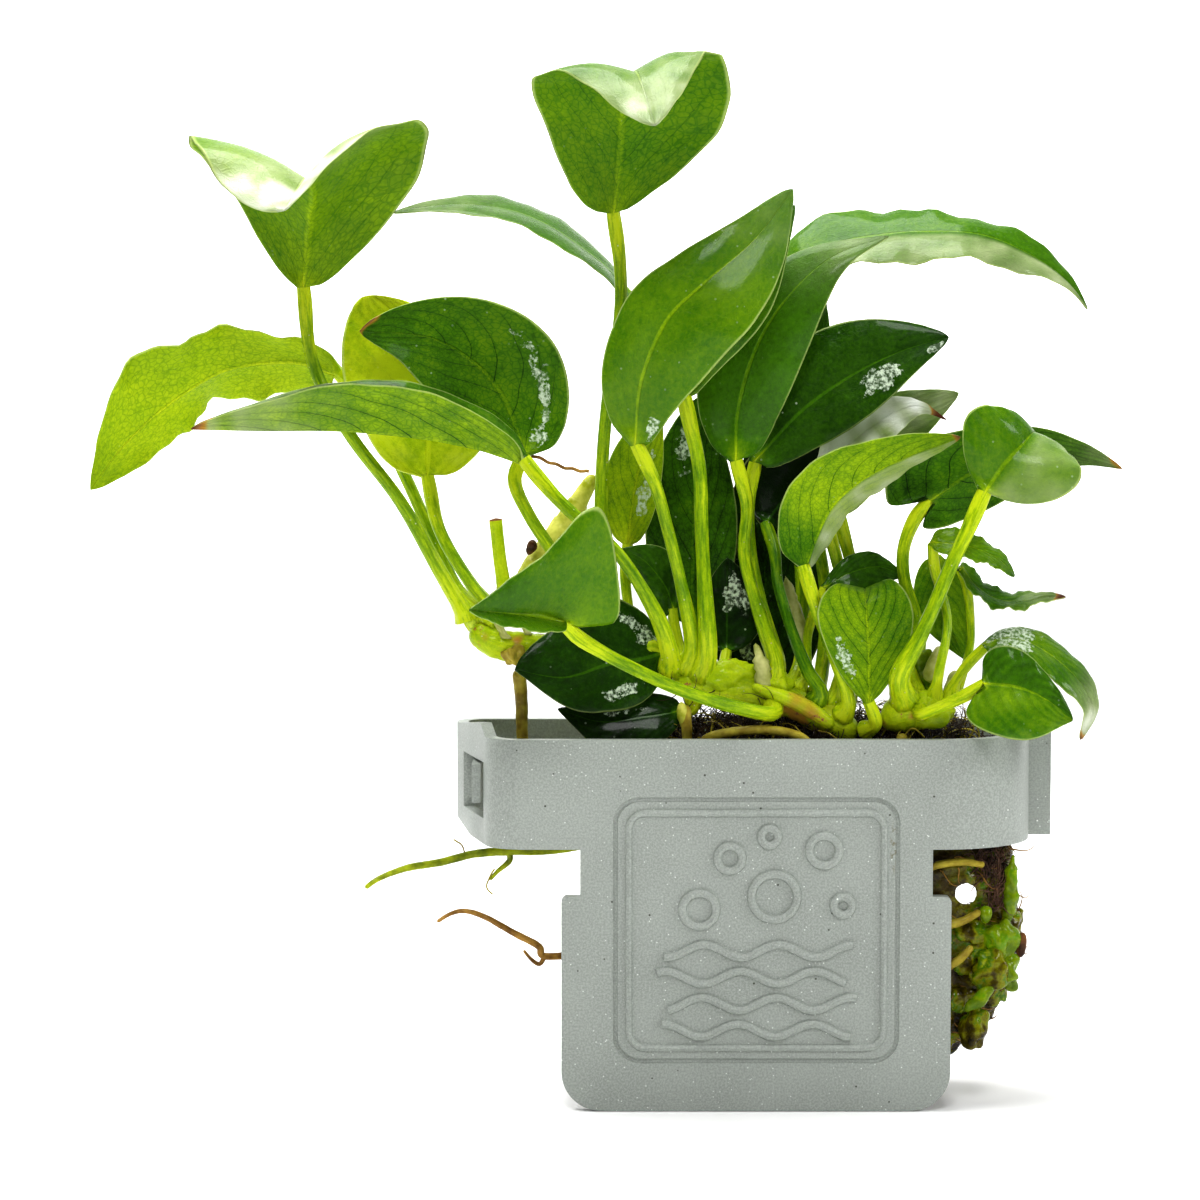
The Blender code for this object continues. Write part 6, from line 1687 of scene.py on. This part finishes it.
    def finish_leaf(self, leaf: Leaf, look: LeafLook, points: Point, places: Point) -> None:
        """Joins a leaf's sections into a mesh, marks its sides and hands it over.

        Args:
            leaf: The leaf.
            look: How it looks.
            points: The sections' points, then the foot and the tip.
            places: Where along the blade each of its sections lies.
        """
        sides, rows = len(self.ring), (len(points) - 2) // len(self.ring)
        faces, slots = [], []
        for row in range(rows - 1):
            for k in range(sides):
                after = (k + 1) % sides
                a, b = row * sides, (row + 1) * sides
                faces.append((a + k, a + after, b + after, b + k))
                upper = k < 2 * len(self.spread)
                part = Side.STALK if row < self.stalk_rows - 1 else Side.UPPER if upper else Side.UNDER
                slots.append(part.value)
        foot, tip, last = len(points) - 2, len(points) - 1, (rows - 1) * sides
        for k in range(sides):
            after = (k + 1) % sides
            faces += [(after, k, foot), (last + k, last + after, tip)]
            slots += [Side.STALK.value, (Side.UPPER if k < 2 * len(self.spread) else Side.UNDER).value]
        mesh = mesh_from(points, faces, leaf.name)
        for material in (self.finishes.upper, self.finishes.under, self.finishes.stalk):
            mesh.materials.append(material)
        mesh.polygons.foreach_set("material_index", slots)
        along = np.repeat(np.concatenate((np.zeros(self.stalk_rows), places)), sides)
        along = np.concatenate((along, (0, 1)))
        across = np.concatenate((np.tile([0.5 + 0.5 * v for v, _ in self.ring], rows), (0.5, 0.5)))
        corners = np.empty(len(mesh.loops), np.int32)
        mesh.loops.foreach_get("vertex_index", corners)
        chart = mesh.uv_layers.new(name="blade")
        chart.data.foreach_set("uv", np.column_stack((along[corners], across[corners])).ravel())
        ragged = np.array([noise.noise(Vector(p) * 260) for p in points])
        edge = np.abs(2 * across - 1) ** 3
        dry = np.clip((along + 0.05 * ragged + 0.02 * edge - look.dry) / 0.06 + 0.5, 0, 1)
        rise, fall, straight = self.stalk_chart(points, sides)
        middle = np.clip((rise - 4) / 12, 0, 1) * np.clip((fall - 5) / 9, 0, 1)
        neck = np.clip(1 - along / 0.09, 0, 1) * (1 - np.abs(2 * across - 1)) ** 2
        signed = 2 * across - 1
        base = look.shade * np.clip(1 - along / 0.35, 0, 1)
        lighter = np.where(signed > 0, look.right[0], look.left[0]) * np.clip(np.abs(signed) * 9, 0, 1)
        paler = np.where(signed > 0, look.right[1], look.left[1]) * np.clip(np.abs(signed) * 5, 0, 1)
        # Towards the tip the pale wash grows by a painted sheen of light off the tip
        tip_sheen = look.tip_sheen * np.clip((along - 0.5) / 0.35, 0, 1)
        pale = np.clip(look.pale * (0.8 + 0.5 * ragged) + (paler + tip_sheen) * (0.95 + 0.5 * ragged), 0, 1)
        # Patches of painted glints and dried water marks, where look.marks puts them
        water = np.zeros(len(along))
        for place, side, long, wide in look.marks:
            off = np.hypot((along - place) / long, (signed - side) / wide)
            water = np.maximum(water, np.clip(1.25 - off * 0.75, 0, 1))
        marks = {"tone_upper": look.upper - base + lighter - 0.06 * along + neck * (look.stalk - look.upper),
                 "tone_under": look.under - base + lighter - 0.04 * along + neck * (look.stalk - look.under),
                 "tone_stalk": look.stalk + 0.05 - 0.22 * middle, "dry": dry, "glint_and_water_mark": water,
                 "wet": look.wet + 0 * along, "pale": pale * (along > 0), "veins": look.veins + 0 * along}
        for name, values in marks.items():
            layer = mesh.attributes.new(name, "FLOAT", "POINT")
            layer.data.foreach_set("value", values.astype(np.float32))
        layer = mesh.attributes.new("straight", "FLOAT_VECTOR", "POINT")
        layer.data.foreach_set("vector", straight.astype(np.float32).ravel())
        mesh.validate()
        place_piece(object_from(mesh, f"{leaf.name}_grown"), leaf.material, leaf.name)

    def stalk_chart(self, points: Point, sides: int) -> tuple[Point, Point, Point]:
        """Where each point lies along and round its stalk.

        Args:
            points: The sections' points, then the foot and the tip.
            sides: How many points a section has.

        Returns:
            Each point's way from the foot and to the stalk's top in millimetres, and its place on
            the stalk if that is drawn straight.
        """
        rings = points[:-2].reshape(-1, sides, 3)
        middles = rings.mean(axis=1)
        steps = np.linalg.norm(np.diff(middles, axis=0), axis=1)
        run = np.concatenate(((0,), np.cumsum(steps))) / MM
        top = run[self.stalk_rows - 1]
        rise = np.append(np.repeat(run, sides), (0, run[-1]))
        size = np.linalg.norm(rings - middles[:, None], axis=2)
        turns = np.array([face * math.acos(max(-1.0, min(1.0, v))) for v, face in self.ring])
        height = np.outer(run, np.ones(sides)) * 0.12 * MM
        flat = np.stack((size * np.cos(turns), size * np.sin(turns), height), -1)
        straight = np.vstack((flat.reshape(-1, 3), np.zeros((2, 3))))
        return rise, np.maximum(top - rise, 0), straight

    def build(self) -> None:
        """Makes every leaf."""
        for number, leaf in enumerate(LEAVES):
            self.build_leaf(leaf, number)


@dataclass
class Stone:
    """The dark stone with its pits, its gap, the fibres on it and the algae on its right flank."""

    finishes: Finishes
    growth: GrowthTrees
    columns: int = 190
    rows: int = 120
    squareness: float = 3.0
    pit_depth: float = 1.4 * MM

    def level(self, height: float) -> tuple[float, float, float]:
        """The left end, right end and half depth at a height in millimetres."""
        heights = [row[0] for row in STONE_LEVELS]
        return tuple(float(np.interp(height, heights, [row[k] for row in STONE_LEVELS])) for k in (1, 2, 3))

    def body(self) -> bpy.types.Object:
        """The stone's own body, from its flat foot to its crown.

        Returns:
            The object, with the gap through it.
        """
        top = STONE_LEVELS[-1][0]
        points, faces = [], []
        for row in range(self.rows):
            height = top * row / (self.rows - 1)
            left, right, depth = self.level(height)
            middle, half = (left + right) / 2, (right - left) / 2
            for k in range(self.columns):
                angle = 2 * math.pi * k / self.columns
                cosine, sine = math.cos(angle), math.sin(angle)
                square = (abs(cosine) ** self.squareness + abs(sine) ** self.squareness)
                square = square ** (-1 / self.squareness)
                place = Vector((middle + half * cosine * square, depth * sine * square, height)) * MM
                out = Vector((cosine, sine, 0))
                points.append(place + out * self.roughness(place) * min(1, height / 2 + 0.05))
        for row in range(self.rows - 1):
            for k in range(self.columns):
                after = (k + 1) % self.columns
                a, b = row * self.columns, (row + 1) * self.columns
                faces.append((a + k, a + after, b + after, b + k))
        first = len(points)
        left, right, _ = self.level(top)
        points.append(Vector(((left + right) / 2 * MM, 0, 0)))
        points.append(Vector(((left + right) / 2 * MM, 0, 75 * MM)))
        last = (self.rows - 1) * self.columns
        for k in range(self.columns):
            after = (k + 1) % self.columns
            faces += [(after, k, first), (last + k, last + after, first + 1)]
        thing = object_from(mesh_from(points, faces, "stone_body"), "stone_body")
        middle, behind = seen(*STONE_HOLE, 50), seen(*STONE_HOLE, 80)
        slope = (behind - middle) / (behind[1] - middle[1])
        drill = blob("drill", Vector(middle), (3.0, 60, 2.9), 0.0, 0.5, 330)
        for vert in drill.vertices:
            back = vert.co.y - middle[1]
            vert.co.x += slope[0] * back
            vert.co.z += slope[2] * back
        cutter = object_from(drill, "drill")
        cut = thing.modifiers.new("gap", "BOOLEAN")
        cut.object = cutter
        cut.operation = "DIFFERENCE"
        cut.solver = "EXACT"
        thing = finished(thing)
        bpy.data.objects.remove(cutter)
        thing.data.shade_smooth()
        return thing

    @staticmethod
    def clear_of_gap(place: Vector) -> bool:
        """Whether a place is outside the gap that the front view looks through."""
        middle, behind = Vector(seen(*STONE_HOLE, 50)), Vector(seen(*STONE_HOLE, 80))
        return (place - middle).cross((behind - middle).normalized()).length > 4.2 * MM

    def roughness(self, place: Vector) -> float:
        """How far the skin stands out at a place, in metres."""
        broad = noise.noise(place * 140) * 1.3 + noise.noise(place * 310)
        pits = noise.noise(place * 620)
        fine = noise.noise(place * 1500) * 0.25
        return min(broad, 0.4) * 1.1 * MM + min(pits, 0.15) * self.pit_depth + fine * MM - 0.3 * MM

    def build(self) -> None:
        """Makes the stone and what grows on it."""
        thing = self.body()
        mesh = thing.data
        mesh.materials.clear()
        mesh.materials.append(self.finishes.stone)
        places = np.array([v.co[:] for v in mesh.vertices])
        growth = np.clip((places[:, 0] - 34 * MM) / (6 * MM), 0, 1)
        growth *= np.clip((60 * MM - places[:, 2]) / (12 * MM), 0, 1)
        layer = mesh.attributes.new("growth", "FLOAT", "POINT")
        layer.data.foreach_set("value", growth.astype(np.float32))
        place_piece(thing, "stone_dark", "stone")
        self.build_fibres(mesh)
        self.build_algae(mesh)

    def build_fibres(self, mesh: bpy.types.Mesh) -> None:
        """The mat of dark and yellow-brown fibres over the stone's top, and the tuft on its right."""
        crown = patch_of(mesh, lambda middle, normal: middle.z > 66 * MM and normal.z > -0.3, "crown")
        tuft = patch_of(mesh, lambda middle, normal: 45 * MM < middle.x < 51 * MM
                        and 39 * MM < middle.z < 56 * MM and normal.y < 0.2
                        and self.clear_of_gap(middle), "tuft")
        flank = patch_of(mesh, lambda middle, normal: middle.x > 34 * MM and 9 * MM < middle.z < 72 * MM
                         and normal.y < 0.5 and self.clear_of_gap(middle), "flank")
        made = self.finishes
        table = (
            ("crown_fibres", crown, 900000.0, 7.0, 0.16, 0.75, 2.2, 3, made.dark_fibre, "root_brown"),
            ("crown_roots", crown, 90000.0, 9.0, 0.3, 0.6, 3.0, 5, made.root_yellow, "root_yellow"),
            ("tuft_fibres", tuft, 2600000.0, 3.4, 0.2, 0.22, 1.6, 8, made.purple_fibre, "root_brown"),
            ("flank_roots", flank, 50000.0, 5.0, 0.24, 0.08, 1.6, 9, made.root_brown, "root_brown"),
        )
        for name, patch, density, length, thick, lift, ruffle, seed, finish, slot in table:
            inputs = {"Density": density, "Length": length * MM, "Thickness": thick * MM, "Lift": lift,
                      "Ruffle": ruffle * MM, "Seed": seed, "Material": finish}
            place_piece(self.growth.grow(self.growth.strands, patch.copy(), name, inputs), slot)

    def build_algae(self, mesh: bpy.types.Mesh) -> None:
        """Slimy green and olive masses on the right flank, and the bright finger below them."""
        area = patch_of(mesh, lambda middle, normal: middle.x > 40 * MM and 12 * MM < middle.z < 38 * MM
                        and normal.y < 0.1 and self.clear_of_gap(middle), "algae_bed")
        inputs = {"Density": 60000.0, "Size": 3.0 * MM, "Unevenness": 1.6 * MM, "Seed": 6,
                  "Material": self.finishes.algae}
        place_piece(self.growth.grow(self.growth.lumps, area, "algae_heap", inputs), "stem_green")
        olive, bright = self.finishes.algae, self.finishes.algae_bright
        table = (
            ("algae_strip", (50.6, 44.2, 11.0), (1.5, 1.8, 7.4), 0.06, 1.4, bright),
            ("algae_cushion", (48.6, 34.6, 8.0), (3.5, 2.6, 4.0), 0.2, 1.6, bright),
            ("algae_mass", (46.4, 27.8, 6.6), (3.4, 2.4, 4.8), 0.25, 1.8, olive),
            ("algae_side", (49.8, 29.0, 9.0), (2.0, 2.2, 5.4), -0.25, 1.8, bright),
            ("algae_low", (43.4, 16.6, 6.0), (2.6, 2.2, 4.6), 0.2, 1.4, olive),
            ("algae_lump", (45.7, 39.4, 6.4), (1.5, 1.3, 1.9), 0.1, 0.6, bright),
            ("algae_finger", (44.4, 22.4, 3.2), (1.4, 1.2, 3.6), 0.85, 0.5, bright),
            ("rusty_crumb", (52.8, 33.4, 8.6), (1.0, 1.0, 2.2), 0.1, 0.9, self.finishes.bark),
        )
        for name, place, axes, lean, roughness, finish in table:
            lump = blob(name, seen(*place), axes, lean, roughness, 420)
            lump.materials.append(finish)
            slot = "root_brown" if finish is self.finishes.bark else "stem_green"
            place_piece(object_from(lump, name), slot)


def modelled(body: bmesh.types.BMesh, name: str) -> bpy.types.Object:
    """Turns a finished edit mesh into an object, with its faces outwards."""
    bmesh.ops.recalc_face_normals(body, faces=body.faces)
    mesh = bpy.data.meshes.new(name)
    body.to_mesh(mesh)
    body.free()
    return object_from(mesh, name)


@dataclass
class RingHolder:
    """The moulded ring with its tag plate, grip rib, slot and relief, all in one piece."""

    finishes: Finishes
    growth: GrowthTrees
    edge: float = 0.45 * MM
    groove: float = 0.5 * MM
    line: float = 0.75 * MM
    relief: float = 0.95 * MM

    @staticmethod
    def outline(corners: tuple, segments: int) -> list[Vector]:
        """An outline through corners, each two places and a radius, with arcs at the corners.

        Args:
            corners: The corners in order.
            segments: How many steps each arc takes.

        Returns:
            The outline's places.
        """
        places = []
        count = len(corners)
        for index, (x, y, radius) in enumerate(corners):
            corner = Vector((x, y))
            before = (Vector(corners[index - 1][:2]) - corner).normalized()
            after = (Vector(corners[(index + 1) % count][:2]) - corner).normalized()
            if not radius:
                places.append(corner)
                continue
            half = before.angle(after) / 2
            centre = corner + (before + after).normalized() * radius / math.sin(half)
            start = corner + before * radius / math.tan(half) - centre
            end = corner + after * radius / math.tan(half) - centre
            sweep = start.angle_signed(end)
            for step in range(segments + 1):
                angle = -sweep * step / segments
                turned = Vector((start.x * math.cos(angle) - start.y * math.sin(angle),
                                 start.x * math.sin(angle) + start.y * math.cos(angle)))
                places.append(centre + turned)
        return places

    def panel(self, inset: float) -> list[Vector]:
        """The rounded square on the tag's face, drawn in by inset."""
        low, high = PANEL_BOTTOM + inset, PANEL_TOP - inset
        half, radius = PANEL_HALF_WIDTH - inset, PANEL_CORNER - inset * 0.6
        return self.outline(((-half, low, radius), (half, low, radius), (half, high, radius),
                             (-half, high, radius)), 14)

    def band(self) -> bpy.types.Object:
        """The ring's wall."""
        front, back = TAG_FACE_Y, TAG_FACE_Y + BAND_DEPTH
        ring = self.outline(((BAND_LEFT_FRONT, front, 8 * MM), (BAND_RIGHT, front, 19.9 * MM),
                             (BAND_RIGHT, back, 19.9 * MM), (BAND_LEFT_BACK, back, 6 * MM)), 26)
        body = bmesh.new()
        low = [body.verts.new((p.x, p.y, BAND_BOTTOM)) for p in ring]
        high = [body.verts.new((p.x, p.y, BAND_TOP)) for p in ring]
        for index in range(len(ring)):
            after = (index + 1) % len(ring)
            body.faces.new((low[index], low[after], high[after], high[index]))
        thing = modelled(body, "holder_moulding")
        wall = thing.modifiers.new("wall", "SOLIDIFY")
        wall.thickness = BAND_WALL
        wall.offset = -1
        wall.use_even_offset = True
        return thing

    def plate(self) -> bpy.types.Object:
        """The tag plate with its neck."""
        neck, wide = NECK_HALF_WIDTH, TAG_HALF_WIDTH
        places = self.outline(((-wide, 0, TAG_CORNER), (wide, 0, TAG_CORNER),
                               (wide, TAG_SHOULDER, 1.2 * MM), (neck, TAG_SHOULDER, 0),
                               (neck, PANEL_TOP, 0), (-neck, PANEL_TOP, 0),
                               (-neck, TAG_SHOULDER, 0), (-wide, TAG_SHOULDER, 1.2 * MM)), 16)
        body = bmesh.new()
        face = body.faces.new([body.verts.new((p.x, TAG_FACE_Y, p.y)) for p in places])
        moved = bmesh.ops.extrude_face_region(body, geom=[face])
        verts = [part for part in moved["geom"] if isinstance(part, bmesh.types.BMVert)]
        bmesh.ops.translate(body, verts=verts, vec=(0, TAG_THICKNESS, 0))
        return modelled(body, "tag_plate")

    @staticmethod
    def block(name: str, low: tuple, high: tuple) -> bpy.types.Object:
        """A block between two corners, to be cut away or joined on."""
        body = bmesh.new()
        bmesh.ops.create_cube(body, size=1)
        bmesh.ops.scale(body, verts=body.verts, vec=[b - a for a, b in zip(low, high)])
        bmesh.ops.translate(body, verts=body.verts, vec=[(a + b) / 2 for a, b in zip(low, high)])
        return modelled(body, name)

    @staticmethod
    def on_left_wall(name: str, profile: tuple, outside: float, inside: float) -> bpy.types.Object:
        """A prism on the ring's slanted left wall, to be cut away or joined on.

        Args:
            name: Its name.
            profile: Places on the wall, millimetres back from the front and up.
            outside: How deep in the wall it starts.
            inside: How deep in the wall it ends.

        Returns:
            The prism.
        """
        start = Vector((BAND_LEFT_FRONT, TAG_FACE_Y, 0))
        run = (Vector((BAND_LEFT_BACK, TAG_FACE_Y + BAND_DEPTH, 0)) - start).normalized()
        inward = Vector((run.y, -run.x, 0))
        body = bmesh.new()
        rings = []
        for depth in (outside, inside):
            rings.append([body.verts.new(start + run * back * MM + inward * depth + Vector((0, 0, up * MM)))
                          for back, up in profile])
        body.faces.new(rings[0])
        body.faces.new(rings[1])
        for index in range(len(profile)):
            after = (index + 1) % len(profile)
            body.faces.new((rings[0][index], rings[0][after], rings[1][after], rings[1][index]))
        return modelled(body, name)

    @staticmethod
    def combine(thing: bpy.types.Object, other: bpy.types.Object, operation: str) -> None:
        """Joins other on or cuts it away, and drops it."""
        step = thing.modifiers.new(other.name, "BOOLEAN")
        step.object = other
        step.operation = operation
        step.solver = "EXACT"
        finished(thing)
        bpy.data.objects.remove(other)

    def cord(self, lines: list, name: str, thickness: float, wave: float, closed: bool) -> bpy.types.Object:
        """A round cord along lines in the tag's face."""
        return self.growth.grow(self.growth.cords, lines_mesh(lines, name, closed), name,
                                {"Thickness": thickness, "Wave height": wave, "Wave length": 15 * MM,
                                 "Material": self.finishes.plastic})

    def build(self) -> None:
        """Moulds the holder and hands it over."""
        front, back = TAG_FACE_Y, TAG_FACE_Y + BAND_DEPTH
        thing = finished(self.band())
        self.combine(thing, self.plate(), "UNION")
        rib_y = front + BAND_DEPTH / 2
        rib = self.block("grip_rib", (BAND_RIGHT - 1.2 * MM, rib_y, BAND_BOTTOM + 0.2 * MM),
                         (BAND_RIGHT + 4.7 * MM, rib_y + 2.2 * MM, BAND_TOP - 0.2 * MM))
        self.combine(thing, rib, "UNION")
        self.combine(thing, self.block("slot", (-70 * MM, front + 8 * MM, 58.5 * MM),
                                       (-51 * MM, front + 27 * MM, 70 * MM)), "DIFFERENCE")
        self.combine(thing, self.block("slot_tongue", (-57.6 * MM, front + 9.5 * MM, 61.5 * MM),
                                       (-55.8 * MM, back - 1 * MM, 69.4 * MM)), "UNION")
        hump = self.on_left_wall("end_hump", END_HUMP, 0.02 * MM, BAND_WALL - 0.02 * MM)
        self.combine(thing, hump, "UNION")
        self.combine(thing, self.on_left_wall("end_cut", END_CUT, -2 * MM, 9 * MM), "DIFFERENCE")
        soften = thing.modifiers.new("edges", "BEVEL")
        soften.width = self.edge
        soften.segments = 3
        soften.limit_method = "ANGLE"
        soften.angle_limit = math.radians(40)
        finished(thing)
        sunk = [(p.x, front, p.y) for p in self.panel(0)]
        self.combine(thing, self.cord([sunk], "groove", self.groove, 0, True), "DIFFERENCE")
        raised = [(p.x, front, p.y) for p in self.panel(LINE_INSET)]
        parts = [self.cord([raised], "raised_line", self.line, 0, True)]
        heights = ((16.6 * MM, 0), (22 * MM, 1.2 * MM), (27.4 * MM, -1.0 * MM), (32.8 * MM, 0.4 * MM))
        ripples = [[(-19 * MM + 38 * MM * k / 8 + shift, front, z) for k in range(9)] for z, shift in heights]
        parts.append(self.cord(ripples, "ripples", self.relief, 1.3 * MM, False))
        rings = []
        for x, z, radius in ((-11.5, 41.2, 3.4), (3.6, 43.8, 4.6), (-5.4, 51.6, 2.5), (13.6, 53.2, 3.0),
                             (2.6, 56.0, 1.7), (17.4, 42.0, 1.8)):
            turns = [2 * math.pi * k / 40 for k in range(40)]
            rings.append([((x + radius * math.cos(a)) * MM, front, (z + radius * math.sin(a)) * MM)
                          for a in turns])
        parts.append(self.cord(rings, "bubbles", self.relief, 0, True))
        body = bmesh.new()
        body.from_mesh(thing.data)
        for part in parts:
            body.from_mesh(part.data)
            bpy.data.objects.remove(part)
        bmesh.ops.recalc_face_normals(body, faces=body.faces)
        body.to_mesh(thing.data)
        body.free()
        thing.data.materials.clear()
        thing.data.materials.append(self.finishes.plastic)
        thing.data.shade_smooth()
        thing.data.set_sharp_from_angle(angle=math.radians(42))
        place_piece(thing, "holder_plastic", "holder")


@dataclass
class Studio:
    """The floor, the white wall behind, the soft lights and the camera at the photograph's angle."""

    floor_half: float = 3.2
    wall_place: float = 1.4
    wall_height: float = 4.4
    surround: float = 0.08

    def build(self) -> None:
        """Sets the studio up."""
        self.build_floor()
        self.build_wall()
        self.build_world()
        self.build_lights()
        self.build_camera()

    @staticmethod
    def sheet(name: str, corners: list, glow: float) -> None:
        """A plain pale sheet of the studio.

        Args:
            name: Its name.
            corners: Its four corners.
            glow: How brightly it shines of itself.
        """
        mesh = bpy.data.meshes.new(name)
        mesh.from_pydata(corners, [], [(0, 1, 2, 3)])
        material, wires, shader = new_finish(name, {"Roughness": 0.9, "Specular IOR Level": 0.1,
                                                    "Emission Strength": glow})
        shader.inputs["Emission Color"].default_value = (1, 1, 1, 1)
        place = wires.node("ShaderNodeTexCoord").outputs["Object"]
        grain = wires.noise(place, 60.0, 3.0)
        wires.put(shader.inputs["Base Color"],
                  wires.ramp(grain, ((0.3, (0.93, 0.93, 0.93)), (0.7, (0.95, 0.95, 0.95)))))
        mesh.materials.append(material)
        object_from(mesh, name)

    def build_floor(self) -> None:
        """The pale floor that the object stands on."""
        half, low = self.floor_half, -0.15 * MM
        self.sheet("floor", [(-half, -half, low), (half, -half, low), (half, self.wall_place, low),
                             (-half, self.wall_place, low)], 0.0)

    def build_wall(self) -> None:
        """The bright wall behind it."""
        half, back = self.floor_half, self.wall_place
        self.sheet("wall", [(-half, back, -0.15 * MM), (half, back, -0.15 * MM),
                            (half, back, self.wall_height), (-half, back, self.wall_height)], 0.9)

    def build_world(self) -> None:
        """A dim even surround."""
        world = bpy.data.worlds.new("surround")
        world.use_nodes = True
        world.node_tree.nodes["Background"].inputs[0].default_value = (1, 1, 1, 1)
        world.node_tree.nodes["Background"].inputs[1].default_value = self.surround
        bpy.context.scene.world = world
        view = bpy.context.scene.view_settings
        view.view_transform = "Standard"
        view.exposure = 0.26
        view.gamma = 0.86

    def build_lights(self) -> None:
        """Large soft lamps above, on both sides and in front."""
        table = (("lamp_above", (-0.25, 0.05, 1.0), 0.6, 13.0), ("lamp_front", (-0.05, -1.0, 1.05), 0.4, 7.0),
                 ("lamp_left", (-1.0, 0.3, 0.6), 0.3, 0.6), ("lamp_right", (1.0, -0.4, 0.6), 0.3, 4.4))
        for name, place, size, power in table:
            lamp = bpy.data.lights.new(name, "AREA")
            lamp.size = size
            lamp.energy = power
            thing = bpy.data.objects.new(name, lamp)
            thing.location = place
            thing.rotation_euler = (Vector((0, 0, 0.1)) - Vector(place)).to_track_quat("-Z", "Y").to_euler()
            bpy.context.scene.collection.objects.link(thing)

    def build_camera(self) -> None:
        """The camera that the front view was measured through."""
        camera = bpy.data.cameras.new("photo_angle")
        camera.lens = LENS_MM
        camera.clip_start = 0.01
        thing = bpy.data.objects.new("photo_angle", camera)
        forward = Vector((0, math.cos(VIEW_RISE), -math.sin(VIEW_RISE)))
        thing.location = AIM - VIEW_DISTANCE * forward
        thing.rotation_euler = forward.to_track_quat("-Z", "Y").to_euler()
        bpy.context.scene.collection.objects.link(thing)
        bpy.context.scene.camera = thing


def main() -> None:
    """Builds the model piece by piece."""
    logging.basicConfig(level=logging.INFO, format="%(name)s: %(message)s")
    finishes = Finishes()
    growth = GrowthTrees()
    RingHolder(finishes, growth).build()
    Stone(finishes, growth).build()
    stems = Stems(finishes, growth)
    stems.build()
    Foliage(stems, finishes).build()
    Studio().build()


if __name__ == "__main__":
    main()
